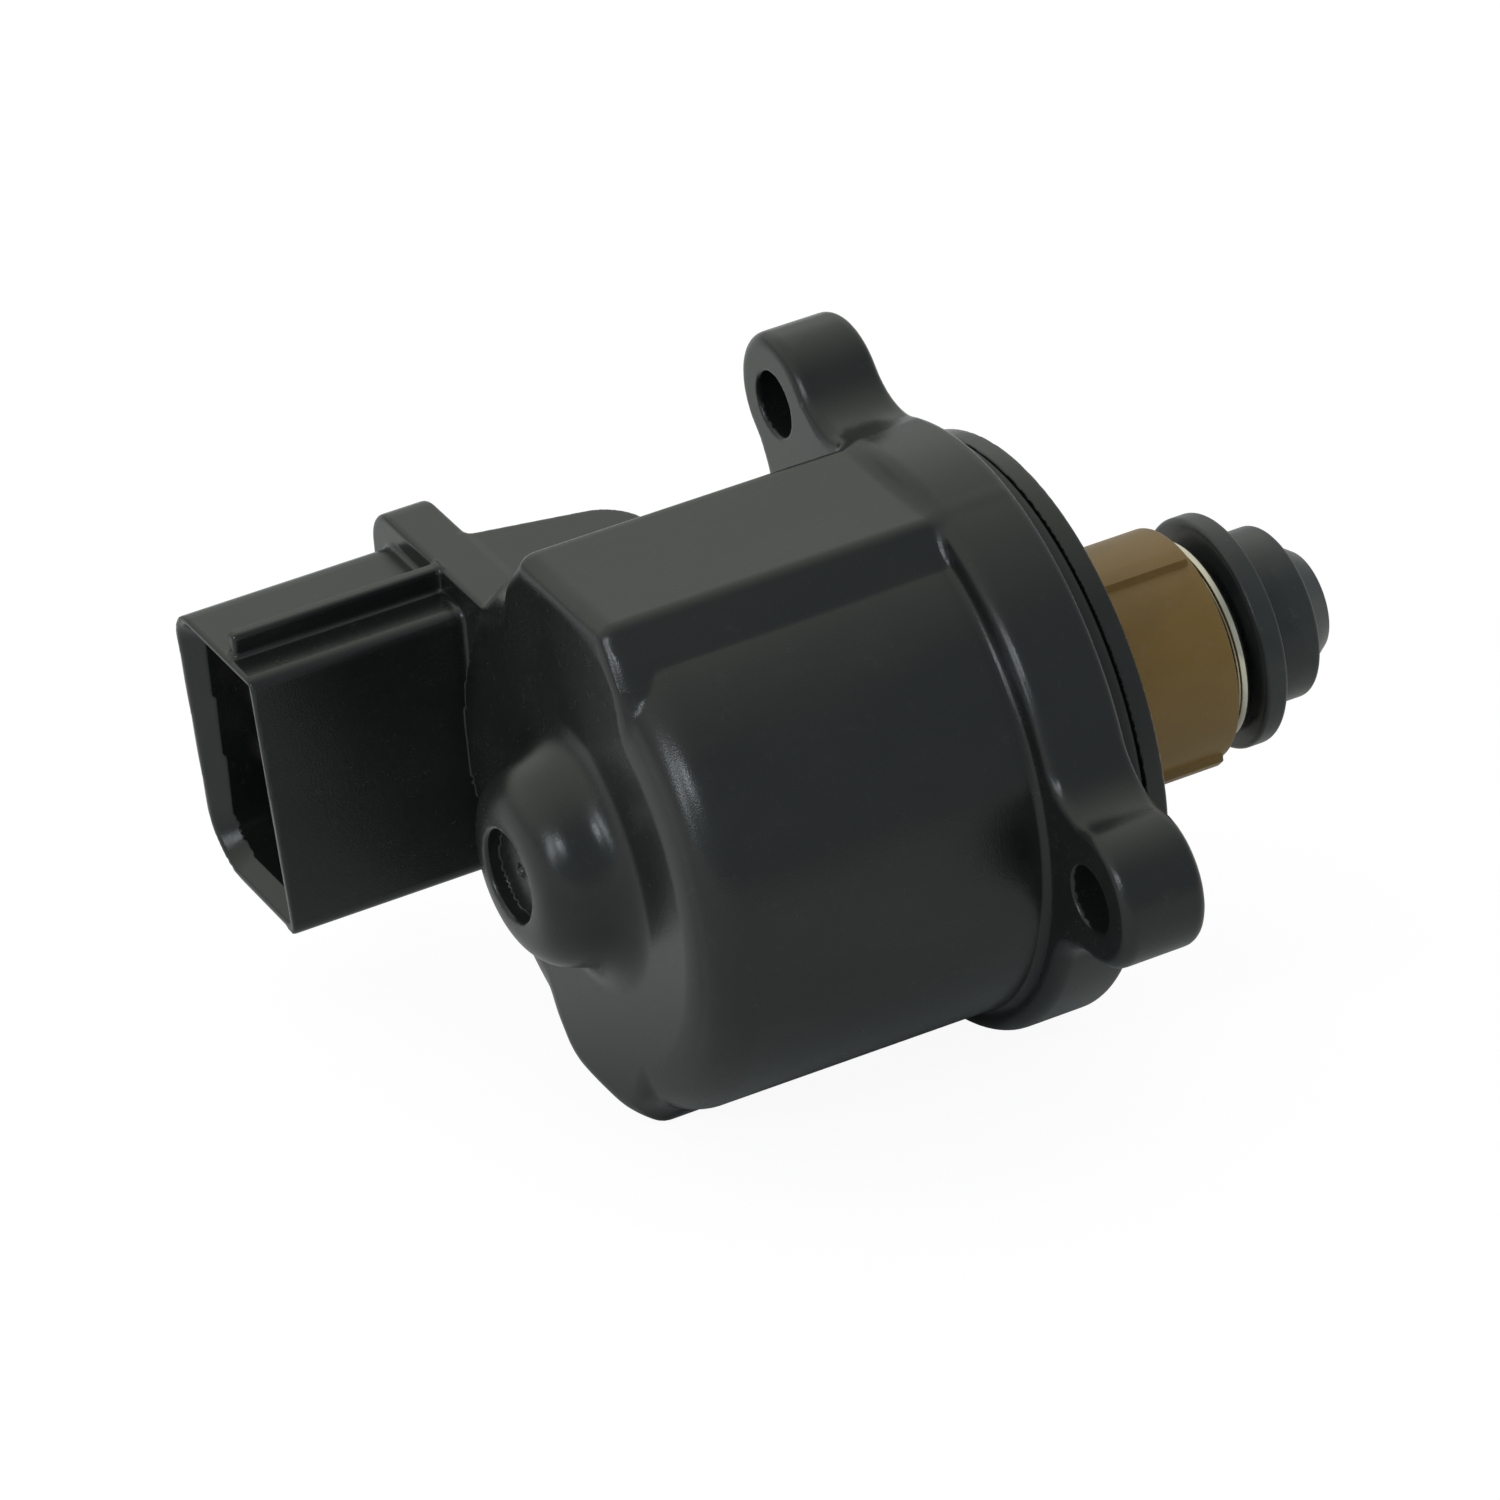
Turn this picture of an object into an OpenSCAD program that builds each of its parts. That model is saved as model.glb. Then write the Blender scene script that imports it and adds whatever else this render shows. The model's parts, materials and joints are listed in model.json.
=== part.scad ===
// Idle air control valve: a stepper motor that drives a pintle in and out of a throttle body.
// The valve axis is X, with the pintle at +X. The origin is where that axis meets the
// mounting face of the flange. The connector stands off towards +Y, and Z is up.

/* [Flange] */
// Thickness of the flange and its ears
flange_t = 6; // [4.5:0.5:7]
// How far the flange disc stands out from the barrel
flange_step = 1.85; // [1.2:0.05:3]
// Radius on the rear edge of the flange disc
flange_round = 1.2; // [0.4:0.1:1.4]
// Radius of the fillet where the barrel meets the flange
flange_fillet = 0.6; // [0.3:0.1:1]
// Distance from the valve axis to each bolt hole
bolt_reach = 23.6; // [23:0.1:26]
// Radius of each bolt hole
bolt_r = 2.25; // [1.6:0.05:2.6]
// Radius of the ear around each bolt hole
ear_r = 4.8; // [4.2:0.1:5.4]
// Radius of the blend between an ear and the disc
ear_blend = 4.4; // [2:0.2:6]
// Radius on the outer edges of each ear tip
ear_round = 0.9; // [0.3:0.1:1.2]
// Angle of the upper ear above the connector side
upper_ear = 48.6; // [40:0.2:60]
// Angle of the near ear, on the side away from the connector
near_ear = 180; // [170:1:190]

/* [Pilot] */
// Wall of the pilot ring outside the motor bore
pilot_wall = 2.25; // [2:0.05:3]
// Length of the pilot ahead of the mounting face
pilot_len = 3; // [2.6:0.1:5]
// Thickness of the O-ring section
oring_t = 1.6; // [1.2:0.1:1.8]
// Squeeze of the O-ring, as it stands above the pilot
oring_stand = 0.3; // [0.1:0.05:0.4]
// Depth of the relief in the mounting face, round the O-ring
relief_depth = 0.3; // [0.2:0.05:0.5]
// Width of that relief
relief_w = 0.55; // [0.5:0.05:0.8]

/* [Barrel] */
// Plastic wall around the stator
barrel_wall = 2.4; // [1.8:0.1:3.2]
// How much the barrel narrows towards its rear end, on the radius
barrel_draft = 0.15; // [0:0.05:0.4]
// Thickness of the rear wall
rear_wall = 2.9; // [2.6:0.1:4]
// Radius on the rear rim
rim_round = 4.3; // [3:0.1:6]
// Half width of the flat on the upper pad
top_half = 5.1; // [4:0.1:5.8]
// Height of the upper pad over the barrel
top_rise = 0.75; // [0.6:0.05:1.2]
// Distance from the middle of the upper pad to its foot on the barrel
top_foot = 8; // [7.4:0.1:8.6]
// Radius on the rear end of the upper pad
top_round = 2.4; // [1.6:0.1:3]
// Radius on the rear corners of the upper pad, seen from above
top_corner = 3.3; // [2:0.1:3.6]
// Half width of the flat on the lower pad
low_half = 4.8; // [4:0.1:5.2]
// Height of the lower pad over the barrel
low_rise = 0.25; // [0.1:0.05:0.6]
// Distance from the middle of the lower pad to its foot on the barrel
low_foot = 7.2; // [6.6:0.1:7.8]
// Radius on the rear end of the lower pad
low_round = 3.8; // [2:0.1:4.2]
// Radius on the rear corners of the lower pad, seen from below
low_corner = 5; // [2:0.1:6]
// Radius along the two long edges of each pad
pad_edge = 1.2; // [0.6:0.1:1.6]

/* [Rear hub] */
// Radius of the flat end of the hub
hub_end_r = 3.6; // [3.6:0.1:5]
// Radius of the hub's domed flank
hub_dome = 3.5; // [3.2:0.1:3.6]
// Fillet at the foot of the hub
hub_fillet = 2.2; // [1:0.1:2.4]
// Radius of the moulding pocket in the hub
pocket_r = 3.1; // [2:0.1:3.3]
// Depth of that pocket
pocket_depth = 1.1; // [0.6:0.1:1.4]
// Plastic left between the pocket and the bearing seat
hub_wall = 1.2; // [0.8:0.1:2]
// Radius of the gate mark in the pocket
gate_r = 0.45; // [0.3:0.05:0.7]

/* [Connector] */
// Distance of the shroud's near wall from the valve axis
shroud_near = 16.7; // [16:0.1:18]
// Width of the shroud, away from the valve axis
shroud_w = 12.1; // [11:0.1:14]
// Height of the shroud above the axis level
shroud_up = 9.3; // [8.6:0.1:10.5]
// Depth of the shroud below the axis level
shroud_down = 10.5; // [9.8:0.1:10.7]
// Wall of the shroud
shroud_wall = 1.5; // [1.1:0.1:2]
// Length of the shroud behind its base plate, at the axis level
shroud_len = 15; // [12:0.5:20]
// Depth of the lead-in chamfer inside the mouth
lead_in = 1.3; // [0.6:0.1:2]
// Thickness of the lip at the very edge of the mouth
lip_t = 0.5; // [0.3:0.1:0.9]
// Lean of the mouth, its lower lip being set back
mouth_lean = 3.2; // [0:0.2:5]
// Radius of the shroud corner at the top, near side
corner_top_near = 1.7; // [0.8:0.1:2.4]
// Radius of the shroud corner at the top, far side
corner_top_far = 2.5; // [0.8:0.1:3]
// Radius of the shroud corner at the bottom, far side
corner_low_far = 4; // [0.8:0.1:4.6]
// Radius of the shroud corner at the bottom, near side
corner_low_near = 0.8; // [0.4:0.1:2]
// Width of the low rib under the shroud, along its near wall
bead_w = 1.4; // [0.8:0.1:2]
// How far that rib stands below the shroud
bead_drop = 0.2; // [0.1:0.05:0.3]
// Distance from the rear end of the stator back to the base plate's rear face
plate_set = 1.7; // [1.4:0.1:2.4]
// Thickness of the base plate
plate_t = 3.6; // [3:0.1:4]
// Height of the base plate above and below the axis level
plate_half = 11; // [10.6:0.1:12]
// How far the base plate stands out past the shroud's far wall
plate_lip = 1.7; // [0.8:0.1:2.5]
// Radius on the far corners of the base plate
plate_round = 2.8; // [0.5:0.1:3.5]
// Width of the latch rib on top of the shroud
rib_w = 1; // [0.6:0.1:1.6]
// Distance of the latch rib from the near wall
rib_set = 3.3; // [2.6:0.1:6]
// Gap between the mouth and the end of the latch rib
rib_start = 0.5; // [0.3:0.1:2]
// Width of the bridge over the barrel at its front end, from the valve axis
bridge_front = 21.5; // [21:0.1:23]
// Width of the bridge where it meets the base plate, from the valve axis
bridge_rear = 23.4; // [22.5:0.1:25]
// Length of the bridge ahead of the base plate
bridge_len = 10.8; // [10:0.1:12]
// Radius on the front end of the bridge
bridge_round = 2.9; // [1:0.1:3.2]
// Height of the bridge above and below the axis level
bridge_half = 10.9; // [8:0.1:11]

/* [Terminals] */
// Width of a terminal blade
blade_w = 1.4; // [0.8:0.1:1.8]
// Thickness of the terminal strip
strip_t = 0.6; // [0.5:0.05:0.8]
// Spacing of the terminals along a row
pin_pitch = 4.2; // [3.6:0.1:4.6]
// Spacing of the two rows
row_pitch = 4; // [3.4:0.1:4.6]
// How far the terminal tips stay inside the mouth
tip_depth = 4.8; // [4.5:0.1:7]
// Thickness of the socket floor behind the base plate's rear face
floor_back = 1.2; // [0.6:0.1:2]
// Distance from the motor bore to the inner row of strips
strip_set = 1.5; // [1.5:0.05:1.6]
// Spacing of the two rows of strips along the barrel
strip_pitch = 1.3; // [1.2:0.05:1.4]
// Width of the terminal tail that enters a bobbin
tail_w = 0.8; // [0.6:0.05:1.2]

/* [Stator] */
// Radial gap between the magnet and the claw poles
air_gap = 0.4; // [0.25:0.05:0.6]
// Thickness of the yoke steel
sheet_t = 1; // [0.8:0.05:1.2]
// Number of claw poles on each yoke
claws = 6; // [4:1:6]
// Width of a claw at its root
claw_root = 4.2; // [3:0.1:4.4]
// Width of a claw at its tip
claw_tip = 2.2; // [1.6:0.1:2.4]
// Gap left between a claw tip and the facing yoke
claw_gap = 0.7; // [0.4:0.1:1.5]
// Room for one coil between its two yokes
coil_room = 7; // [6.6:0.1:7.2]
// Distance from the mounting face back to the stator
stator_set = 9.3; // [9:0.1:9.6]
// Wall of a bobbin
bobbin_wall = 0.8; // [0.6:0.05:1]
// Depth of the copper winding
winding_depth = 3.2; // [2.6:0.1:3.6]
// How far a bobbin flange stands past the copper
bobbin_lip = 0.3; // [0.1:0.05:0.6]
// Distance from the valve axis to the top of a bobbin's terminal block
block_top = 17.2; // [17:0.05:17.4]
// Half width of a terminal block
block_half = 5.2; // [5:0.05:5.3]
// Length of a terminal block along the axis
block_len = 1.8; // [1.6:0.1:1.9]

/* [Rotor] */
// Radius of the magnet
magnet_r = 9.3; // [8.8:0.05:9.6]
// Wall of the magnet ring
magnet_wall = 3.1; // [2:0.1:3.6]
// Distance from each end of the stator to the magnet
magnet_set = 1; // [0.6:0.1:2]
// Radius of the ring grooves that key the magnet to the hub
key_r = 0.4; // [0.2:0.05:0.6]

/* [Bearings] */
// Bore radius of the rear bearing
rear_bore = 2; // [1.5:0.1:2.2]
// Outer radius of the rear bearing
rear_outer = 5.5; // [5:0.1:5.8]
// Bore radius of the front bearing
front_bore = 4; // [3.8:0.1:4.4]
// Outer radius of the front bearing
front_outer = 8; // [7.6:0.1:8.4]
// Width of each bearing
bearing_w = 4; // [3.6:0.1:4.2]
// Distance from the rear end of the stator back to the rear bearing
bearing_set = 1.15; // [0.8:0.05:1.3]
// Number of balls in each bearing
balls = 7; // [5:1:8]
// Share of the space between bore and outside that a ball fills
ball_fill = 0.58; // [0.5:0.01:0.6]
// Thickness of the preload washer behind the rear bearing
washer_t = 0.3; // [0.2:0.05:0.4]
// Height of the preload washer's cone
washer_cone = 0.2; // [0.1:0.05:0.3]

/* [Lead screw] */
// Radius of the lead screw
screw_r = 2.4; // [2:0.05:2.6]
// Half thickness of the shank across its two flats
flat_half = 1.8; // [1.4:0.05:1.9]
// How far the screw reaches back into the nut, from the nut's front end
screw_grip = 16; // [10:0.5:17]
// Travel of the pintle outwards from the place shown
travel_out = 6; // [4:0.5:7]
// Travel of the pintle inwards from the place shown
travel_in = 2; // [1:0.1:2]
// Radius of the spigot that carries the valve head
spigot_r = 1.7; // [1.2:0.05:1.7]
// Length of that spigot
spigot_len = 4; // [2.5:0.1:4.4]

/* [Guide sleeve] */
// Thickness of the guide's plate
guide_t = 3; // [2.4:0.1:4]
// How far the plate's face is recessed in the pilot
guide_recess = 0.5; // [0.2:0.1:1.2]
// Width of the skirt that presses on the stator
skirt_w = 2; // [1.5:0.1:2.5]
// Wall of the pocket around the front bearing
seat_wall = 1.4; // [1:0.1:2]
// Outer radius of the sleeve
sleeve_r = 8.05; // [7.9:0.05:8.6]
// Wall of the sleeve around the spring
sleeve_wall = 0.75; // [0.6:0.05:0.9]
// Reach of the sleeve ahead of the mounting face
sleeve_reach = 14.5; // [12:0.1:16]
// Wall of the inner tube that guides the shank
guide_wall = 1.6; // [1.2:0.1:2.2]
// Reach of that inner tube ahead of the mounting face
guide_reach = 9; // [6:0.1:10.5]
// Floor of the spring pocket ahead of the guide's plate
pocket_floor = 1.2; // [0.8:0.1:3]
// Height of the low ribs along the sleeve
sleeve_rib = 0.45; // [0.2:0.05:0.7]
// Width of those ribs
sleeve_rib_w = 1.2; // [0.8:0.1:2]
// Number of those ribs
rib_count = 3; // [2:1:4]
// Angle of the first rib
first_rib = 105; // [60:1:130]

/* [Spring] */
// Radius of the spring wire
wire_r = 0.45; // [0.3:0.05:0.5]
// Gap between the spring and the sleeve
spring_gap = 0.3; // [0.2:0.05:0.5]
// Number of open turns
open_turns = 4; // [3:1:6]
// Number of closed turns at each end
closed_turns = 2; // [1:1:2]

/* [Valve head] */
// Gap between the sleeve's front edge and the valve seat disc, as shown
head_gap = 2.1; // [2.1:0.1:3]
// Radius of the seat disc
seat_r = 8; // [7.6:0.05:9]
// Thickness of the seat disc
seat_t = 1.7; // [1.2:0.1:2.4]
// Radius of the nose
nose_r = 5.95; // [5:0.05:6.5]
// Length of the nose's straight side
nose_len = 3.75; // [3:0.05:5]
// Radius of the flat at the tip
tip_r = 3.4; // [2:0.1:4]
// Length of the cone that leads to the tip
tip_len = 2.2; // [1:0.1:3]
// Radius on the edges of the valve head
head_round = 0.35; // [0.1:0.05:0.5]

/* [Fits] */
// Clearance between pieces that are assembled and stay put
fit = 0.03; // [0.02:0.01:0.06]
// Running clearance between the screw and the nut, and at the flats
run = 0.06; // [0.03:0.01:0.1]

/* [Hidden] */
$fn = 64;
eps = 0.01;

// Radii, from the rotor outwards
pole_r = magnet_r + air_gap;
claw_out_r = pole_r + sheet_t;
bobbin_in_r = claw_out_r + fit;
winding_in_r = bobbin_in_r + bobbin_wall + fit;
winding_out_r = winding_in_r + winding_depth;
bobbin_out_r = winding_out_r + bobbin_lip;
rim_in_r = bobbin_out_r + fit;
stator_r = rim_in_r + sheet_t;
motor_bore = stator_r + fit;
barrel_r = motor_bore + barrel_wall;
barrel_rear_r = barrel_r - barrel_draft;
flange_r = barrel_r + flange_step;
pilot_r = motor_bore + pilot_wall;

// Places along the axis
phase_len = coil_room + 2 * sheet_t;
stator_front = -stator_set;
stator_mid = stator_front - phase_len;
stator_rear = stator_mid - phase_len;
rear_x = stator_rear - rear_wall;
rear_bearing_front = stator_rear - bearing_set;
bearing_rear = rear_bearing_front - bearing_w;
washer_rear = bearing_rear - washer_t - washer_cone - 2 * fit;
hub_pocket_x = washer_rear - hub_wall;
hub_end_x = hub_pocket_x - pocket_depth;
magnet_rear = stator_rear + magnet_set;
magnet_front = stator_front - magnet_set;
front_bearing_rear = stator_front + 0.5;
front_bearing_front = front_bearing_rear + bearing_w;
guide_front = pilot_len - guide_recess;
guide_rear = guide_front - guide_t;
spring_floor = guide_front + pocket_floor;
seat_rear = sleeve_reach + head_gap;
seat_front = seat_rear + seat_t;
nose_front = seat_front + nose_len;
tip_x = nose_front + tip_len;

// Connector
shroud_far = shroud_near + shroud_w;
shroud_mid_y = (shroud_near + shroud_far) / 2;
plate_rear = stator_rear - plate_set;
plate_front = plate_rear + plate_t;
mouth_x = plate_rear - shroud_len;
socket_floor = plate_rear - floor_back;
bridge_front_x = plate_front + bridge_len;
rib_near = shroud_near + rib_set;
lip_x = mouth_x - shroud_up * tan(mouth_lean);
over = 2;

// Groove for the O-ring, at the root of the pilot and set back by the relief
groove_w = oring_t + 0.2;
groove_rear = -relief_depth;
groove_r = pilot_r + oring_stand - oring_t - fit;

// Guide bore and spring
shank_bore = screw_r + run;
guide_tube_r = shank_bore + guide_wall;
spring_r = sleeve_r - sleeve_wall - spring_gap - wire_r;
spring_steps = 24;
spring_sides = 8;
spring_turns = open_turns + 2 * closed_turns;
spring_start = spring_floor + wire_r + fit;
spring_end = seat_rear - wire_r - fit;
closed_pitch = 2 * wire_r + 0.05;
open_rise = spring_end - spring_start - 2 * closed_turns * closed_pitch;

// Claw poles, magnet and nut
pole_pitch = 180 / claws;
magnet_bore = magnet_r - magnet_wall;
key_places = [0.25, 0.75];
nut_front = front_bearing_front + 0.1;
end_room = 0.2;
screw_rear = nut_front - screw_grip;
nut_blind = screw_rear - travel_in - end_room;
shank_rear = nut_front - travel_out - end_room;

// A sketch drawn in Y and Z, raised along X from x
module across(x) {
    translate([x, 0, 0])
        rotate([90, 0, 90])
            children();
}

// A profile drawn as radius and X, turned about the valve axis
module turned() {
    across(0)
        rotate_extrude()
            children();
}

// A plain ring about the valve axis
module ring(inner, outer, x0, x1) {
    turned()
        translate([inner, x0])
            square([outer - inner, x1 - x0]);
}

// A plain rod about the valve axis
module rod(r, x0, x1) {
    across(x0)
        cylinder(r = r, h = x1 - x0);
}

// A block given by its low and high corners
module block(low, high) {
    translate(low)
        cube(high - low);
}

// Children turned about the valve axis
module spun(angle) {
    rotate([angle, 0, 0])
        children();
}

function four(r) = [r, r, r, r];

// A rectangle from low to high whose corners have their own radii, going round from low
module soft_rectangle(low, high, r) {
    centres = [[low.x + r[0], low.y + r[0]], [high.x - r[1], low.y + r[1]],
        [high.x - r[2], high.y - r[2]], [low.x + r[3], high.y - r[3]]];
    polygon([[low.x + r[0], low.y], [high.x - r[1], low.y],
        [high.x, low.y + r[1]], [high.x, high.y - r[2]],
        [high.x - r[2], high.y], [low.x + r[3], high.y],
        [low.x, high.y - r[3]], [low.x, low.y + r[0]]]);
    for (i = [0:3])
        translate(centres[i])
            circle(r[i]);
}

// Half section of the barrel: a rounded rear rim, a light draft and the flange
module barrel_profile() {
    rim_c = [barrel_rear_r - rim_round, rear_x + rim_round];
    polygon([[0, rear_x], [rim_c.x, rear_x], [rim_c.x, rim_c.y], [barrel_rear_r, rim_c.y],
        [barrel_r, -flange_t], [0, -flange_t]]);
    translate(rim_c)
        circle(rim_round);
    fillet_c = [barrel_r + flange_fillet, -flange_t - flange_fillet];
    difference() {
        polygon([[barrel_r - 0.4, fillet_c.y], [fillet_c.x, fillet_c.y],
            [fillet_c.x, -flange_t + eps], [barrel_r - 0.4, -flange_t + eps]]);
        translate(fillet_c)
            circle(flange_fillet);
    }
    translate([0, -flange_t + flange_round])
        square([flange_r, flange_t - flange_round]);
    translate([0, -flange_t])
        square([flange_r - flange_round, flange_t]);
    translate([flange_r - flange_round, -flange_t + flange_round])
        circle(flange_round);
    square([pilot_r, pilot_len]);
}

// Half section of the domed hub on the rear wall
module hub_profile() {
    dome_c = [hub_end_r, hub_end_x + hub_dome];
    reach = hub_dome + hub_fillet;
    drop = dome_c.y - (rear_x - hub_fillet);
    fillet_c = [dome_c.x + sqrt(reach * reach - drop * drop), rear_x - hub_fillet];
    touch = dome_c + (fillet_c - dome_c) * hub_dome / reach;
    square_front = rear_x + rear_wall / 2;
    translate([0, hub_end_x])
        square([dome_c.x, square_front - hub_end_x]);
    translate(dome_c)
        circle(hub_dome);
    difference() {
        polygon([dome_c, touch, fillet_c, [fillet_c.x, square_front], [dome_c.x, square_front]]);
        translate(fillet_c)
            circle(hub_fillet);
    }
}

// Section of a pad: a flat top, rounded edges and sides that slope down to the barrel
module pad_section(half, top, foot) {
    foot_z = sqrt(barrel_rear_r * barrel_rear_r - foot * foot);
    fall = [foot - half, top - pad_edge - foot_z];
    away = norm(fall);
    turn = atan2(fall.x, fall.y) + acos(pad_edge / away);
    touch = [half + pad_edge * sin(turn), top - pad_edge - pad_edge * cos(turn)];
    for (s = [-1, 1]) {
        translate([s * half, top - pad_edge])
            circle(pad_edge);
        polygon([[0, top], [s * half, top], [s * half, top - pad_edge], [s * touch.x, touch.y],
            [s * foot, foot_z], [0, 0]]);
    }
}

// Flat pad on top of the barrel, rounded off at its rear end and corners
module pad(half, rise, foot, end_r, corner_r) {
    top = barrel_r + rise;
    front = -flange_t / 2;
    intersection() {
        across(rear_x)
            linear_extrude(front - rear_x)
                pad_section(half, top, foot);
        translate([0, foot, 0])
            rotate([90, 0, 0])
                linear_extrude(2 * foot)
                    soft_rectangle([rear_x, 0], [front, top], four(end_r));
        linear_extrude(top)
            soft_rectangle([rear_x, -foot], [front, foot], four(corner_r));
    }
}

// One bolt ear, drawn towards +Y: a rounded tip, straight cheeks and blends into the disc
module ear() {
    reach = flange_r + ear_blend;
    side = ear_r + ear_blend;
    along = sqrt(reach * reach - side * side);
    shrink = flange_r / reach;
    across(-flange_t)
        linear_extrude(flange_t)
            for (s = [-1, 1])
                difference() {
                    polygon([[0, 0], [along, 0], [along, s * side], [along * shrink, s * side * shrink]]);
                    translate([along, s * side])
                        circle(ear_blend);
                }
    translate([0, bolt_reach, 0]) {
        turned() {
            translate([0, -flange_t])
                square([ear_r - ear_round, flange_t]);
            translate([0, -flange_t + ear_round])
                square([ear_r, flange_t - 2 * ear_round]);
            for (x = [-flange_t + ear_round, -ear_round])
                translate([ear_r - ear_round, x])
                    circle(ear_round);
        }
    }
    block([-flange_t, 0, -ear_r + ear_round], [0, bolt_reach, ear_r - ear_round]);
    block([-flange_t + ear_round, 0, -ear_r], [-ear_round, bolt_reach, ear_r]);
    for (z = [-1, 1], x = [-flange_t + ear_round, -ear_round])
        translate([x, 0, z * (ear_r - ear_round)])
            rotate([-90, 0, 0])
                cylinder(r = ear_round, h = bolt_reach);
}

// Shroud, base plate, latch rib and the bridge that carries them on the barrel
module connector_form() {
    corners = [corner_low_near, corner_low_far, corner_top_far, corner_top_near];
    difference() {
        union() {
            across(mouth_x - over)
                linear_extrude(plate_rear - mouth_x + over + plate_t / 2)
                    soft_rectangle([shroud_near, -shroud_down], [shroud_far, shroud_up], corners);
            block([lip_x + rib_start, rib_near, 0], [plate_front, rib_near + rib_w, plate_half]);
            bead();
        }
        mouth_cut();
    }
    across(plate_rear)
        linear_extrude(plate_t)
            soft_rectangle([0, -plate_half], [shroud_far + plate_lip, plate_half],
                four(plate_round));
    bridge();
}

// Low rib under the shroud, round along its foot
module bead() {
    r = bead_w / 2;
    across(mouth_x - over)
        linear_extrude(plate_front - mouth_x + over)
            translate([shroud_near + r, -shroud_down - bead_drop + r]) {
                circle(r);
                translate([-r, 0])
                    square([bead_w, shroud_down / 2]);
            }
}

// Half space behind the leaning mouth
module mouth_cut() {
    translate([mouth_x, 0, 0])
        rotate([0, -mouth_lean, 0])
            block([-2 * over, 0, -2 * plate_half], [0, 2 * shroud_far, 2 * plate_half]);
}

// Outline of the shroud, brought in by a wall thickness
module shroud_inside(wall) {
    corners = [for (r = [corner_low_near, corner_low_far, corner_top_far, corner_top_near])
        max(r - wall, 0.4)];
    soft_rectangle([shroud_near + wall, -shroud_down + wall], [shroud_far - wall, shroud_up - wall],
        corners, $fn = 32);
}

// Lead-in chamfer round the inside of the leaning mouth
module lead_ins() {
    thin = 0.01;
    translate([mouth_x, 0, 0])
        rotate([0, -mouth_lean, 0])
            hull() {
                across(-thin)
                    linear_extrude(thin)
                        shroud_inside(lip_t);
                across(lead_in)
                    linear_extrude(thin)
                        shroud_inside(shroud_wall);
            }
}

// Bridge from the base plate along the side of the barrel, with a rounded front end
module bridge() {
    end_r = bridge_round;
    turn = atan((bridge_rear - bridge_front) / bridge_len);
    end_c = [bridge_front_x - end_r, bridge_front - end_r / cos(turn)];
    translate([0, 0, -bridge_half])
        linear_extrude(2 * bridge_half) {
            polygon([[plate_rear + 1, 0], [plate_rear + 1, bridge_rear], [plate_front, bridge_rear],
                [end_c.x + end_r * sin(turn), end_c.y + end_r * cos(turn)], end_c,
                [bridge_front_x, end_c.y], [bridge_front_x, 0]]);
            translate(end_c)
                circle(end_r);
        }
}

// Socket of the connector
module socket() {
    across(mouth_x - over)
        linear_extrude(socket_floor - mouth_x + over)
            shroud_inside(shroud_wall);
}

// Plastic body, moulded in one piece with its flange and connector
module housing() {
    color([0.09, 0.10, 0.12]) {
        difference() {
            union() {
                turned() {
                    barrel_profile();
                    hub_profile();
                }
                pad(top_half, top_rise, top_foot, top_round, top_corner);
                spun(180)
                    pad(low_half, low_rise, low_foot, low_round, low_corner);
                spun(upper_ear)
                    ear();
                spun(near_ear)
                    ear();
                connector_form();
            }
            rod(motor_bore, stator_rear, pilot_len + 1);
            rod(rear_outer + fit, washer_rear, stator_rear + 1);
            rod(pocket_r, hub_end_x - 1, hub_pocket_x);
            ring(groove_r, pilot_r + relief_w, groove_rear, groove_rear + groove_w);
            for (angle = [upper_ear, near_ear])
                spun(angle)
                    translate([0, bolt_reach, 0])
                        rod(bolt_r, -flange_t - 1, 1);
            socket();
            lead_ins();
            for (i = [0:5])
                terminal_path(i, fit);
            block_room();
        }
        across(hub_pocket_x + eps)
            mirror([0, 0, 1])
                cylinder(r1 = gate_r, r2 = gate_r / 2, h = pocket_depth / 3);
    }
}

// Room in the housing for the terminal blocks of the two bobbins
module block_room() {
    half = block_half + fit;
    block([block_rear(1) - fit, 0, -half], [block_front(0) + fit, block_top + fit, half]);
}

// Ends of a bobbin's terminal block, for phase 0 in front and phase 1 behind
function block_rear(phase) = phase == 0 ? stator_mid + sheet_t + fit
    : stator_mid - sheet_t - fit - block_len;
function block_front(phase) = block_rear(phase) + block_len;

// Seal in the groove at the root of the pilot
module o_ring() {
    color([0.05, 0.05, 0.05])
        turned()
            translate([groove_r + fit + oring_t / 2, groove_rear + groove_w / 2])
                circle(oring_t / 2);
}

// Path of terminal i, grown by a clearance: blade, step inwards, run along the barrel, tail
module terminal_path(i, grow) {
    row = i < 3 ? 0 : 1;
    z = (i % 3 - 1) * pin_pitch;
    half = strip_t / 2 + grow;
    pin_y = shroud_mid_y + (0.5 - row) * row_pitch;
    run_y = motor_bore + strip_set + (row == 0 ? strip_pitch : 0);
    step_x = plate_rear + 1 + (row == 0 ? 2 * strip_t : 0);
    tail_x = block_rear(row) + block_len / 2;
    tail_y = block_top - 1.6;
    wide = blade_w / 2 + grow;
    slim = tail_w / 2 + grow;
    block([mouth_x + tip_depth, pin_y - half, z - wide], [step_x + half, pin_y + half, z + wide]);
    block([step_x - half, run_y - half, z - wide], [step_x + half, pin_y + half, z + wide]);
    block([step_x - half, run_y - half, z - slim], [tail_x + half, run_y + half, z + slim]);
    block([tail_x - half, tail_y - grow, z - slim], [tail_x + half, run_y + half, z + slim]);
}

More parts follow.
